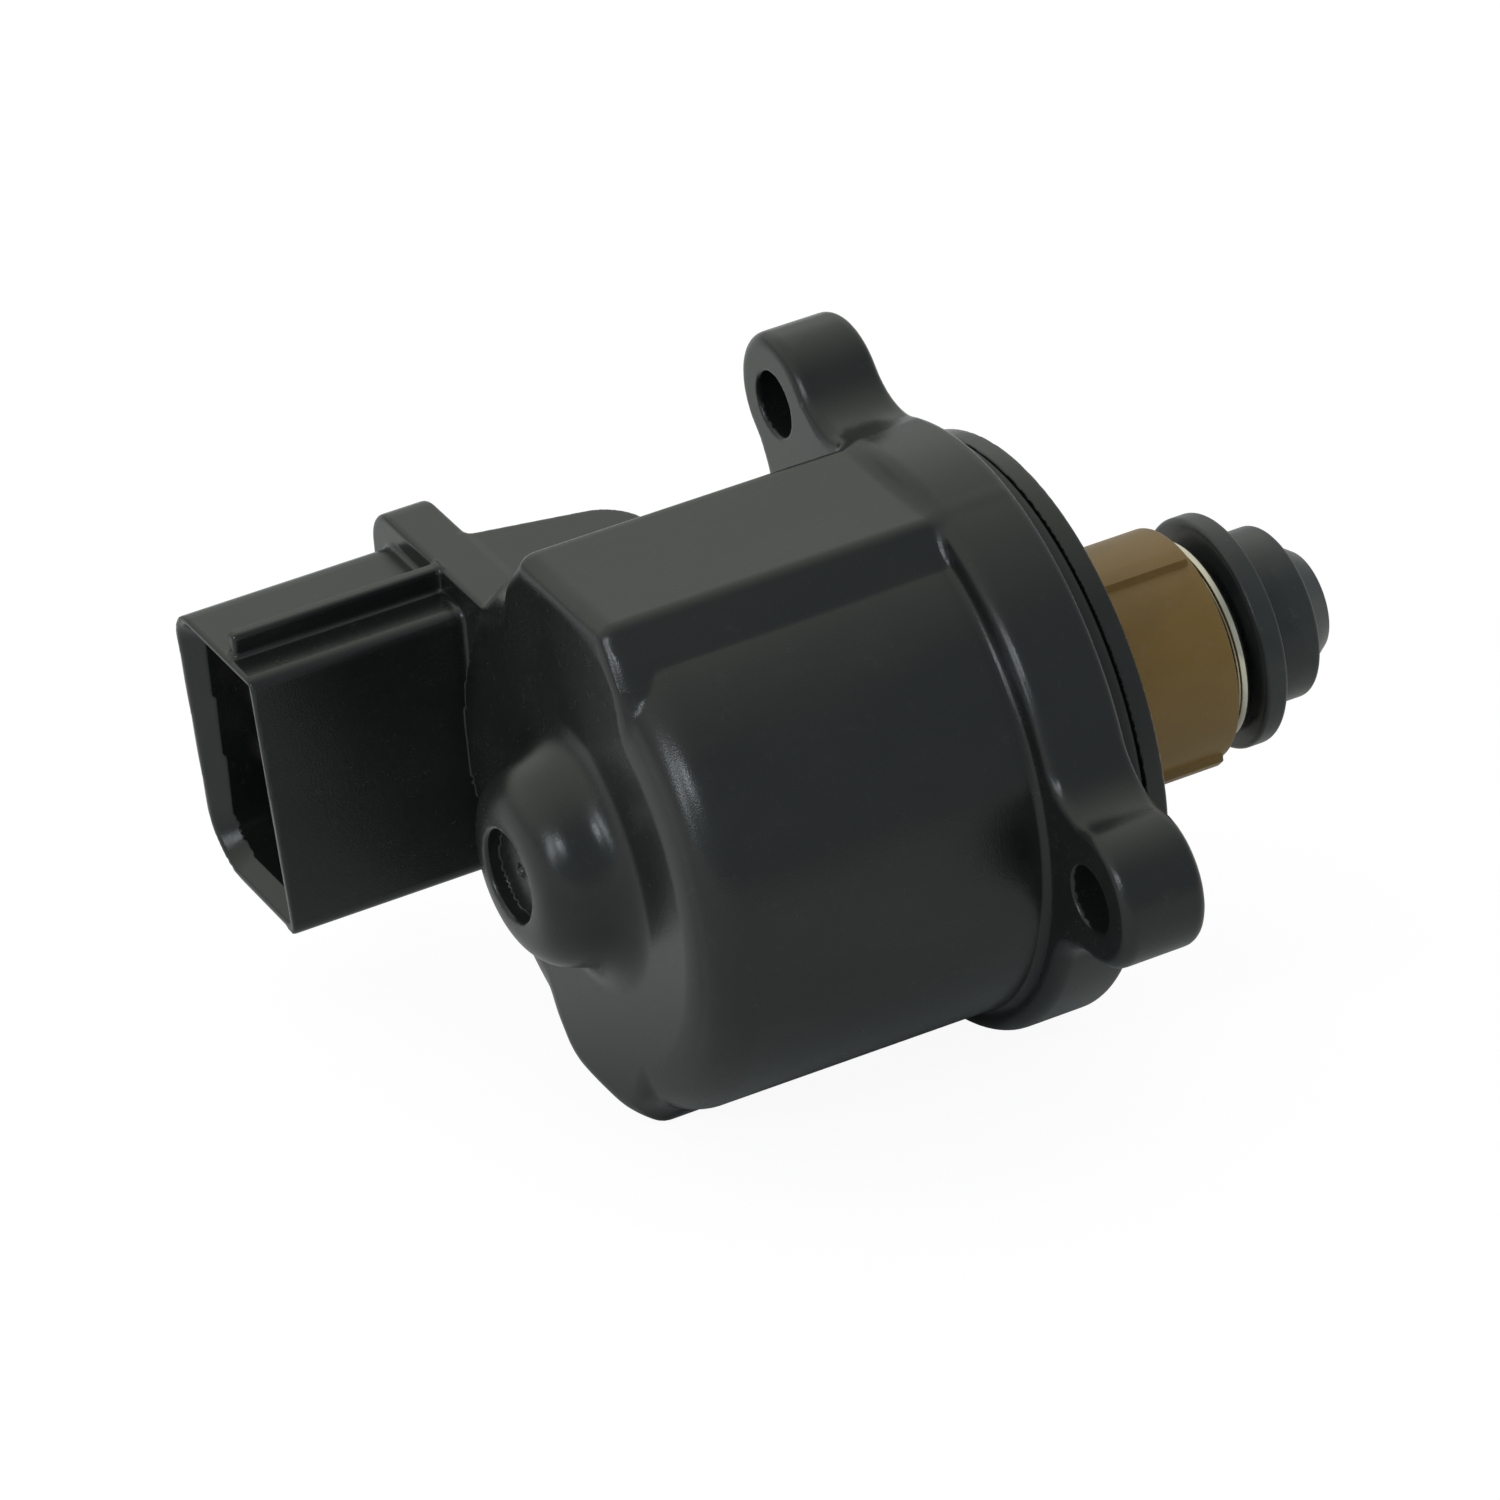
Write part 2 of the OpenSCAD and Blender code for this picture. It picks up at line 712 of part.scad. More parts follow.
// One terminal, with its tip chamfered
module terminal(i) {
    tip = mouth_x + tip_depth;
    pin_y = shroud_mid_y + (i < 3 ? 0.5 : -0.5) * row_pitch;
    color([0.78, 0.74, 0.62])
        difference() {
            terminal_path(i, 0);
            for (s = [-1, 1])
                translate([tip, pin_y + s * strip_t / 2, 0])
                    rotate([0, 0, 45])
                        block([-strip_t / 3, -strip_t / 3, -shroud_down],
                            [strip_t / 3, strip_t / 3, shroud_down]);
        }
}

// One claw: a tapered strip of the pole ring, wide at the yoke and narrow at its tip
module claws_of(angle) {
    len = coil_room - claw_gap;
    intersection() {
        ring(pole_r, claw_out_r, 0, sheet_t + len);
        for (i = [0:claws - 1])
            spun(angle + i * 360 / claws)
                translate([0, pole_r - 1, 0])
                    rotate([-90, 0, 0])
                        linear_extrude(sheet_t + 2)
                            polygon([[0, -claw_root / 2], [sheet_t, -claw_root / 2],
                                [sheet_t + len, -claw_tip / 2], [sheet_t + len, claw_tip / 2],
                                [sheet_t, claw_root / 2], [0, claw_root / 2]]);
    }
}

// Yoke in its own frame: outer face at X = 0 and claws towards +X
module yoke(outer_r, angle) {
    relief_r = claw_out_r + sheet_t / 2;
    difference() {
        ring(pole_r, outer_r, 0, sheet_t);
        difference() {
            rod(relief_r, -1, sheet_t + 1);
            for (i = [0:claws - 1])
                spun(angle + i * 360 / claws)
                    block([-2, 0, -claw_root / 2], [sheet_t + 2, relief_r + 1, claw_root / 2]);
        }
    }
    claws_of(angle);
}

// Cup: an outer yoke with the rim that closes the magnetic path round the coil
module cup_yoke(angle) {
    yoke(stator_r, angle);
    difference() {
        ring(rim_in_r, stator_r, 0, phase_len);
        block([phase_len - sheet_t - block_len - 4 * fit, 0, -block_half - fit],
            [phase_len + 1, stator_r + 1, block_half + fit]);
    }
}

// Phase 0 is the front one, and is drawn as the rear one mirrored
module placed(phase, face) {
    if (phase == 1)
        translate([face, 0, 0])
            children();
    else
        translate([face, 0, 0])
            mirror([1, 0, 0])
                children();
}

module rear_outer_yoke() {
    color([0.62, 0.63, 0.65])
        placed(1, stator_rear)
            cup_yoke(0);
}

module rear_inner_yoke() {
    color([0.66, 0.67, 0.69])
        placed(0, stator_mid)
            yoke(rim_in_r - fit, pole_pitch);
}

module front_inner_yoke() {
    color([0.66, 0.67, 0.69])
        placed(1, stator_mid)
            yoke(rim_in_r - fit, pole_pitch * 1.5);
}

module front_outer_yoke() {
    color([0.62, 0.63, 0.65])
        placed(0, stator_front)
            cup_yoke(pole_pitch / 2);
}

// Spool of one phase, with the block that holds three terminal tails
module bobbin(phase) {
    x0 = (phase == 0 ? stator_mid : stator_rear) + sheet_t + fit;
    x1 = x0 + coil_room - 2 * fit;
    color([0.86, 0.84, 0.76])
        difference() {
            union() {
                ring(bobbin_in_r, bobbin_in_r + bobbin_wall, x0, x1);
                ring(bobbin_in_r, bobbin_out_r, x0, x0 + bobbin_wall);
                ring(bobbin_in_r, bobbin_out_r, x1 - bobbin_wall, x1);
                difference() {
                    block([block_rear(phase), winding_out_r, -block_half],
                        [block_front(phase), block_top, block_half]);
                    rod(winding_out_r + fit, block_rear(phase) - 1, block_front(phase) + 1);
                }
            }
            for (i = [0:5])
                terminal_path(i, fit);
        }
}

// Copper of one phase
module winding(phase) {
    x0 = (phase == 0 ? stator_mid : stator_rear) + sheet_t + 2 * fit + bobbin_wall;
    color([0.72, 0.38, 0.18])
        ring(winding_in_r, winding_out_r, x0, x0 + coil_room - 2 * bobbin_wall - 4 * fit);
}

// Conical spring washer that takes up the play of the rear bearing
module preload_washer() {
    inner = rear_outer * 0.72;
    outer = rear_outer - fit;
    x0 = washer_rear + fit;
    color([0.75, 0.76, 0.78])
        turned()
            polygon([[inner, x0], [inner, x0 + washer_t],
                [outer, x0 + washer_t + washer_cone], [outer, x0 + washer_cone]]);
}

function ball_r(bore, outer) = (outer - bore) * ball_fill / 2;
function pitch_r(bore, outer) = (outer + bore) / 2;
function race_gap(bore, outer) = ball_r(bore, outer) * 0.62;

// Outer race of a bearing, with its ball groove
module outer_race(bore, outer, x0) {
    color([0.80, 0.81, 0.83])
        turned()
            difference() {
                translate([pitch_r(bore, outer) + race_gap(bore, outer), x0])
                    square([outer - pitch_r(bore, outer) - race_gap(bore, outer), bearing_w]);
                translate([pitch_r(bore, outer), x0 + bearing_w / 2])
                    circle(ball_r(bore, outer) + fit);
            }
}

// Inner race of a bearing, with its ball groove
module inner_race(bore, outer, x0) {
    color([0.80, 0.81, 0.83])
        turned()
            difference() {
                translate([bore, x0])
                    square([pitch_r(bore, outer) - race_gap(bore, outer) - bore, bearing_w]);
                translate([pitch_r(bore, outer), x0 + bearing_w / 2])
                    circle(ball_r(bore, outer) + fit);
            }
}

// Balls of a bearing
module bearing_balls(bore, outer, x0) {
    color([0.88, 0.89, 0.90])
        for (i = [0:balls - 1])
            spun(i * 360 / balls)
                translate([x0 + bearing_w / 2, pitch_r(bore, outer), 0])
                    sphere(ball_r(bore, outer));
}

module rear_bearing_outer_race() {
    outer_race(rear_bore, rear_outer, bearing_rear);
}

module rear_bearing_inner_race() {
    inner_race(rear_bore, rear_outer, bearing_rear);
}

module rear_bearing_balls() {
    bearing_balls(rear_bore, rear_outer, bearing_rear);
}

module front_bearing_outer_race() {
    outer_race(front_bore, front_outer, front_bearing_rear);
}

module front_bearing_inner_race() {
    inner_race(front_bore, front_outer, front_bearing_rear);
}

module front_bearing_balls() {
    bearing_balls(front_bore, front_outer, front_bearing_rear);
}

// Ring magnet, moulded on to the nut's grooves
module rotor_magnet() {
    color([0.25, 0.25, 0.27])
        turned() {
            translate([magnet_bore, magnet_rear])
                square([magnet_wall, magnet_front - magnet_rear]);
            for (k = key_places)
                translate([magnet_bore, magnet_rear + k * (magnet_front - magnet_rear)])
                    circle(key_r);
        }
}

// Nut that carries the magnet, with a journal for each bearing and the screw's bore
module rotor_nut() {
    rear_shoulder = pitch_r(rear_bore, rear_outer) - race_gap(rear_bore, rear_outer);
    front_shoulder = pitch_r(front_bore, front_outer) - race_gap(front_bore, front_outer);
    color([0.80, 0.66, 0.36])
        turned()
            difference() {
                union() {
                    translate([0, magnet_rear])
                        square([magnet_bore - fit, magnet_front - magnet_rear]);
                    translate([0, rear_bearing_front])
                        square([rear_shoulder, magnet_rear - rear_bearing_front]);
                    translate([0, bearing_rear + 0.2])
                        square([rear_bore - fit, bearing_w]);
                    translate([0, magnet_front])
                        square([front_shoulder, front_bearing_rear - magnet_front]);
                    translate([0, front_bearing_rear])
                        square([front_bore - fit, nut_front - front_bearing_rear]);
                }
                translate([0, nut_blind])
                    square([screw_r + run, nut_front - nut_blind + 1]);
                for (k = key_places)
                    translate([magnet_bore, magnet_rear + k * (magnet_front - magnet_rear)])
                        circle(key_r + fit);
            }
}

// Lead screw, with two flats on its shank and a spigot for the head
module lead_screw() {
    color([0.70, 0.71, 0.73]) {
        rod(screw_r, screw_rear, shank_rear);
        intersection() {
            rod(screw_r, shank_rear - eps, seat_rear);
            block([shank_rear - eps, -screw_r - 1, -flat_half], [seat_rear, screw_r + 1, flat_half]);
        }
        rod(spigot_r, seat_rear - eps, seat_rear + spigot_len);
    }
}

// Brown guide: plate, skirt, bearing seat, inner tube with flats and outer sleeve with ribs
module guide_sleeve() {
    seat_out = front_outer + fit + seat_wall;
    shoulder_r = pitch_r(front_bore, front_outer) + race_gap(front_bore, front_outer);
    color([0.55, 0.42, 0.27])
        difference() {
            union() {
                rod(motor_bore - fit, guide_rear, guide_front);
                ring(motor_bore - fit - skirt_w, motor_bore - fit, stator_front, guide_rear + eps);
                rod(seat_out, front_bearing_rear, guide_rear + eps);
                rod(sleeve_r, guide_front - eps, spring_floor);
                ring(sleeve_r - sleeve_wall, sleeve_r, spring_floor - eps, sleeve_reach);
                rod(guide_tube_r, spring_floor - eps, guide_reach);
                for (i = [0:rib_count - 1])
                    spun(first_rib + i * 360 / rib_count)
                        block([guide_front - eps, sleeve_r - sleeve_wall / 2, -sleeve_rib_w / 2],
                            [sleeve_reach - sleeve_rib, sleeve_r + sleeve_rib, sleeve_rib_w / 2]);
            }
            rod(front_outer + fit, front_bearing_rear - 1, front_bearing_front);
            rod(shoulder_r, front_bearing_rear - 1, front_bearing_front + 0.8);
            intersection() {
                rod(shank_bore, front_bearing_front, guide_reach + 1);
                block([front_bearing_front, -shank_bore - 1, -flat_half - run],
                    [guide_reach + 1, shank_bore + 1, flat_half + run]);
            }
        }
}

function spring_x(t) = t < closed_turns ? spring_start + t * closed_pitch
    : t > closed_turns + open_turns ? spring_end - (spring_turns - t) * closed_pitch
    : spring_start + closed_turns * closed_pitch + (t - closed_turns) / open_turns * open_rise;

// Compression spring that keeps the screw seated on one flank of its thread
module spring() {
    last = spring_turns * spring_steps;
    points = [for (k = [0:last], s = [0:spring_sides - 1])
        let (turn = 360 * k / spring_steps, a = 360 * s / spring_sides,
            r = spring_r + wire_r * cos(a))
        [spring_x(k / spring_steps) + wire_r * sin(a), r * cos(turn), r * sin(turn)]];
    walls = [for (k = [0:last - 1], s = [0:spring_sides - 1])
        let (n = (s + 1) % spring_sides, b = k * spring_sides)
        [b + s, b + n, b + n + spring_sides, b + s + spring_sides]];
    first_cap = [for (s = [spring_sides - 1:-1:0]) s];
    last_cap = [for (s = [0:spring_sides - 1]) last * spring_sides + s];
    color([0.85, 0.86, 0.87])
        polyhedron(points, concat(walls, [first_cap, last_cap]));
}

// Valve head: seat disc, nose and conical tip in one moulding
module valve_head() {
    color([0.20, 0.23, 0.27])
        difference() {
            turned()
                difference() {
                    union() {
                        translate([0, seat_rear])
                            square([seat_r - head_round, seat_t]);
                        translate([0, seat_rear + head_round])
                            square([seat_r, seat_t - 2 * head_round]);
                        for (x = [seat_rear + head_round, seat_front - head_round])
                            translate([seat_r - head_round, x])
                                circle(head_round);
                        translate([0, seat_front - eps])
                            square([nose_r, nose_len - head_round]);
                        translate([0, seat_front])
                            square([nose_r - head_round, nose_len]);
                        translate([nose_r - head_round, nose_front - head_round])
                            circle(head_round);
                        polygon([[0, nose_front - eps], [nose_r - 1, nose_front - eps],
                            [tip_r, tip_x], [0, tip_x]]);
                    }
                    translate([-1, seat_rear - 1])
                        square([1, tip_x]);
                }
            rod(spigot_r + fit, seat_rear - 1, seat_rear + spigot_len + 0.2);
        }
}

housing();
o_ring();
terminal(0);  // terminal_1
terminal(1);  // terminal_2
terminal(2);  // terminal_3
terminal(3);  // terminal_4
terminal(4);  // terminal_5
terminal(5);  // terminal_6
rear_outer_yoke();
rear_inner_yoke();
front_inner_yoke();
front_outer_yoke();
bobbin(1);  // rear_bobbin
bobbin(0);  // front_bobbin
winding(1);  // rear_winding
winding(0);  // front_winding
preload_washer();
rear_bearing_outer_race();
rear_bearing_inner_race();
rear_bearing_balls();
front_bearing_outer_race();
front_bearing_inner_race();
front_bearing_balls();
rotor_magnet();
rotor_nut();
lead_screw();
guide_sleeve();
spring();
valve_head();
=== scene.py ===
import bpy, json, math
import numpy as np
from mathutils import Matrix, Vector


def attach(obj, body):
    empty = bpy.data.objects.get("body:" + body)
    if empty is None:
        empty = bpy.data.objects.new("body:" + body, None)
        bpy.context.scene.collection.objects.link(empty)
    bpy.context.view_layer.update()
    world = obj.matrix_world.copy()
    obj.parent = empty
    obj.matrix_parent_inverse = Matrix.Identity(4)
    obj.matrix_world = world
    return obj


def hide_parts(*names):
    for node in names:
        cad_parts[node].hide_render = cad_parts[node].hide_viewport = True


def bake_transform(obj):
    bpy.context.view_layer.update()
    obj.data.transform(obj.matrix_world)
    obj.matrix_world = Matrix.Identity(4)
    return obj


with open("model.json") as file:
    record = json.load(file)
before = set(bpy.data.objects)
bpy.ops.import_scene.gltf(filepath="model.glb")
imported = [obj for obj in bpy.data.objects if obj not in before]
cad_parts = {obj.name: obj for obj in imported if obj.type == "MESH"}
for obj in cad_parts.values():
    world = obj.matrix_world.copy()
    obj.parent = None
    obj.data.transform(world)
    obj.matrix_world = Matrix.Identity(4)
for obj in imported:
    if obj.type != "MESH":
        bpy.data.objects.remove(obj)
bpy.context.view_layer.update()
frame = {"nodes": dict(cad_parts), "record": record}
nodes = frame["nodes"]
print("frame loaded")

perMetre = 1000  # lengths in the dictionaries of pieces are millimetres

# The camera stands where the photograph's fitted view stands, with the same roll
camera = {
    "place": (-0.2391, -0.4523, 0.3140),
    "right": (0.8765, -0.4766, -0.0683),
    "up": (0.3025, 0.4347, 0.8482),
    "back": (-0.3746, -0.7642, 0.5252),
    "lens": 220.32,
    "sensor": 36,
    "clip": (0.05, 10),
}


def placeCamera(c):
    data = bpy.data.cameras.new("camera")
    data.lens, data.sensor_width = c["lens"], c["sensor"]
    data.clip_start, data.clip_end = c["clip"]
    obj = bpy.data.objects.new("camera", data)
    bpy.context.scene.collection.objects.link(obj)
    turn = Matrix([c["right"], c["up"], c["back"]]).transposed().to_4x4()
    obj.matrix_world = Matrix.Translation(c["place"]) @ turn
    bpy.context.scene.camera = obj


placeCamera(camera)
print("camera placed")


# A shader socket that can be used in sums, products and other maths
class Val:
    def __init__(self, mat, socket):
        self.mat, self.socket = mat, socket

    def op(self, kind, other=None, flip=False):
        values = [other, self] if flip else [self, other]
        given = {i: v for i, v in enumerate(values) if v is not None}
        return self.mat.add("ShaderNodeMath", {"operation": kind}, given)

    def __add__(self, o):
        return self.op("ADD", o)

    def __radd__(self, o):
        return self.op("ADD", o, flip=True)

    def __sub__(self, o):
        return self.op("SUBTRACT", o)

    def __rsub__(self, o):
        return self.op("SUBTRACT", o, flip=True)

    def __mul__(self, o):
        return self.op("MULTIPLY", o)

    def __rmul__(self, o):
        return self.op("MULTIPLY", o, flip=True)

    def __truediv__(self, o):
        return self.op("DIVIDE", o)

    def __rtruediv__(self, o):
        return self.op("DIVIDE", o, flip=True)

    # 0 below low, 1 above high, smooth between
    def over(self, low, high):
        settings = {"interpolation_type": "SMOOTHSTEP"}
        return self.mat.add("ShaderNodeMapRange", settings, {0: self, 1: low, 2: high})


# One material: every node comes from add(), and surface() closes it with a Principled BSDF
class Finish:
    def __init__(self, name, tree=None):
        if tree is None:
            self.material = bpy.data.materials.new(name)
            self.material.use_nodes = True
            tree = self.material.node_tree
        self.tree = tree
        self.tree.nodes.clear()

    def add(self, kind, settings=None, sockets=None, out=0):
        node = self.tree.nodes.new(kind)
        for key, value in (settings or {}).items():
            setattr(node, key, value)
        for key, value in (sockets or {}).items():
            socket = node.inputs[key]
            if isinstance(value, Val):
                self.tree.links.new(value.socket, socket)
            else:
                socket.default_value = value
        return Val(self, node.outputs[out] if node.outputs else None)

    # Object coordinates in millimetres, stretched by scale
    def place(self, scale=(1, 1, 1), turn=(0, 0, 0)):
        where = self.add("ShaderNodeTexCoord", out="Object")
        size = tuple(perMetre * s for s in scale)
        return self.add("ShaderNodeMapping", None, {"Vector": where, "Scale": size, "Rotation": turn})

    def noise(self, where, scale, detail=3.0, rough=0.55):
        sockets = {"Vector": where, "Scale": scale, "Detail": detail, "Roughness": rough}
        return self.add("ShaderNodeTexNoise", None, sockets)

    def mix(self, factor, first, second):
        settings = {"data_type": "RGBA"}
        return self.add("ShaderNodeMix", settings, {0: factor, 6: first, 7: second}, out=2)

    def bump(self, height, distance):
        return self.add("ShaderNodeBump", None, {"Height": height, "Distance": distance, "Strength": 1.0})

    def surface(self, **sockets):
        given = {key.replace("_", " "): value for key, value in sockets.items()}
        shader = self.add("ShaderNodeBsdfPrincipled", None, given)
        self.add("ShaderNodeOutputMaterial", None, {"Surface": shader})
        return self.material


def grey(v):
    return (v, v, v, 1)


# Marks that every moulded plastic shows: flow lines, handling dust, hair scratches and mould grain
marks = {
    "flowScale": 0.12, "flowSpan": (0.35, 0.7), "flowRough": 0.08, "flowHigh": 0.8,
    "dustScale": 0.9, "dustDetail": 6.0, "dustBreak": 0.7, "dustSpan": (0.56, 0.72), "dustRough": 0.05,
    "dustColour": 0.30,
    "scratch": (0.25, 3.0, 3.0), "scratchTurn": (0.4, 0.3, 0.2), "scratchScale": 2.2,
    "scratchSpan": (0.78, 0.82), "scratchRough": 0.05, "scratchDeep": 0.1,
    "grainRough": 0.12, "specular": 0.5, "index": 1.5,
}


def mouldedPlastic(name, look, m=marks):
    f = Finish(name)
    here = f.place()
    grain = f.noise(here, look["grain"], 2.0)
    flow = f.noise(f.place(look["flow"]), m["flowScale"], 4.0)
    dust = f.noise(here, m["dustScale"], m["dustDetail"], m["dustBreak"]).over(*m["dustSpan"])
    scratch = f.noise(f.place(m["scratch"], m["scratchTurn"]), m["scratchScale"], 1.0).over(*m["scratchSpan"])
    colour = f.mix(flow.over(*m["flowSpan"]), (*look["dark"], 1), (*look["pale"], 1))
    colour = f.mix(dust * look["dust"], colour, grey(m["dustColour"]))
    rough = look["rough"] + (flow - 0.5) * m["flowRough"] + dust * m["dustRough"]
    rough = rough + scratch * m["scratchRough"] + (grain - 0.5) * m["grainRough"]
    height = grain + flow * m["flowHigh"] - scratch * m["scratchDeep"]
    normal = f.bump(height, look["bump"])
    return f.surface(Base_Color=colour, Roughness=rough, Normal=normal,
                     Specular_IOR_Level=m["specular"], IOR=m["index"])


def metalFinish(name, look):
    f = Finish(name)
    brushed = f.noise(f.place(look["stretch"]), look["grain"], 3.0)
    stain = f.noise(f.place(), look["stain"], 5.0)
    colour = f.mix(stain.over(*look["stainSpan"]), (*look["dark"], 1), (*look["pale"], 1))
    rough = look["rough"] + (brushed - 0.5) * look["spread"]
    normal = f.bump(brushed, look["bump"])
    return f.surface(Base_Color=colour, Roughness=rough, Metallic=look["metal"], Normal=normal)


bodyLook = {
    "grain": 9.0, "flow": (0.6, 1.2, 1.2), "dark": (0.0105, 0.0118, 0.0122), "pale": (0.0150, 0.0162, 0.0158),
    "rough": 0.24, "bump": 0.000011, "dust": 0.02,
}
bodyPlastic = mouldedPlastic("bodyPlastic", bodyLook)
headLook = dict(bodyLook, dark=(0.014, 0.018, 0.021), pale=(0.034, 0.039, 0.040), rough=0.33, dust=0.06,
                flow=(0.9, 0.9, 0.9))
headPlastic = mouldedPlastic("headPlastic", headLook)
guideLook = dict(bodyLook, dark=(0.235, 0.132, 0.029), pale=(0.290, 0.166, 0.038), rough=0.42,
                 bump=0.00001, dust=0.10)
guidePlastic = mouldedPlastic("guidePlastic", guideLook)
spoolLook = dict(guideLook, dark=(0.52, 0.48, 0.38), pale=(0.62, 0.58, 0.48), rough=0.45)
spoolPlastic = mouldedPlastic("spoolPlastic", spoolLook)
rubberLook = dict(bodyLook, dark=(0.008, 0.008, 0.009), pale=(0.014, 0.014, 0.015), rough=0.5)
sealRubber = mouldedPlastic("sealRubber", rubberLook)
steelLook = {
    "stretch": (1, 1, 1), "grain": 4.0, "dark": (0.52, 0.53, 0.55), "pale": (0.68, 0.68, 0.69),
    "stain": 0.35, "stainSpan": (0.3, 0.75), "rough": 0.32, "spread": 0.2, "bump": 0.000004, "metal": 1.0,
}
yokeSteel = metalFinish("yokeSteel", steelLook)
springLook = dict(steelLook, dark=(0.56, 0.53, 0.44), pale=(0.74, 0.71, 0.60), rough=0.14, spread=0.08)
springSteel = metalFinish("springSteel", springLook)
bearingSteel = metalFinish("bearingSteel", dict(steelLook, rough=0.18, spread=0.1))
screwSteel = metalFinish("screwSteel", dict(steelLook, stretch=(6, 1, 1), rough=0.26))
tinPlate = metalFinish("tinPlate", dict(steelLook, dark=(0.60, 0.55, 0.42), pale=(0.76, 0.72, 0.62)))
brassLook = dict(steelLook, stretch=(6, 1, 1), dark=(0.62, 0.42, 0.16), pale=(0.78, 0.57, 0.26))
nutBrass = metalFinish("nutBrass", brassLook)
ferriteLook = dict(steelLook, dark=(0.05, 0.05, 0.055), pale=(0.09, 0.09, 0.1), rough=0.5, metal=0.3)
ferrite = metalFinish("ferrite", ferriteLook)

copperLook = {
    "wire": 0.16, "drift": 0.15, "driftScale": 0.5, "bump": 0.00006, "rough": 0.3, "metal": 0.8,
    # the valley colour is painted shade for the grooves between turns
    "crest": (0.62, 0.24, 0.09), "valleyShade": (0.22, 0.07, 0.025),
}


# Copper wire wound in layers: a rounded ridge for each turn along the axis, with a slow drift, and painted
# shade that darkens the colour in the valleys between turns
def woundCopper(name, look):
    f = Finish(name)
    here = f.place()
    along = f.add("ShaderNodeSeparateXYZ", None, {0: here}, out="X")
    drift = f.noise(here, look["driftScale"], 2.0) * look["drift"]
    turn = (along / look["wire"] + drift).op("FRACT")
    ridge = (turn - 0.5).op("ABSOLUTE")
    # Painted shade: the colour goes from the crest colour to the darker valley colour between turns
    colour = f.mix(ridge * 2.0, (*look["crest"], 1), (*look["valleyShade"], 1))
    normal = f.bump(1 - ridge * ridge * 4.0, look["bump"])
    return f.surface(Base_Color=colour, Roughness=look["rough"], Metallic=look["metal"], Normal=normal)


coilCopper = woundCopper("coilCopper", copperLook)

finishes = {
    "body_plastic": bodyPlastic, "seal_rubber": sealRubber, "terminal_tin": tinPlate,
    "yoke_steel": yokeSteel, "bobbin_plastic": spoolPlastic, "coil_copper": coilCopper,
    "bearing_steel": bearingSteel, "magnet_ferrite": ferrite, "nut_brass": nutBrass,
    "screw_steel": screwSteel, "guide_plastic": guidePlastic, "spring_steel": springSteel,
    "head_plastic": headPlastic,
}
for part in frame["record"]["subparts"]:
    mesh = nodes[part["node"]].data
    mesh.materials.clear()
    mesh.materials.append(finishes[part["material_slot"]])
print("materials made")


# Two distances met with an edge of radius r, or joined with a fillet of radius r
def roundMeet(a, b, r):
    return np.minimum(-r, np.maximum(a, b)) + np.hypot(np.maximum(a + r, 0), np.maximum(b + r, 0))


def roundJoin(a, b, r):
    return np.maximum(r, np.minimum(a, b)) - np.hypot(np.maximum(r - a, 0), np.maximum(r - b, 0))


# Distance to a rectangle in Y and Z whose corners have the radii low near, low far, top near, top far
def softRect(y, z, low, high, radii):
    midY, midZ = (low[0] + high[0]) / 2, (low[1] + high[1]) / 2
    far, top = y > midY, z > midZ
    r = np.where(far, np.where(top, radii[3], radii[1]), np.where(top, radii[2], radii[0])).astype(y.dtype)
    overY = np.abs(y - midY) - (high[0] - low[0]) / 2 + r
    overZ = np.abs(z - midZ) - (high[1] - low[1]) / 2 + r
    return np.minimum(np.maximum(overY, overZ), 0) + np.hypot(np.maximum(overY, 0), np.maximum(overZ, 0)) - r


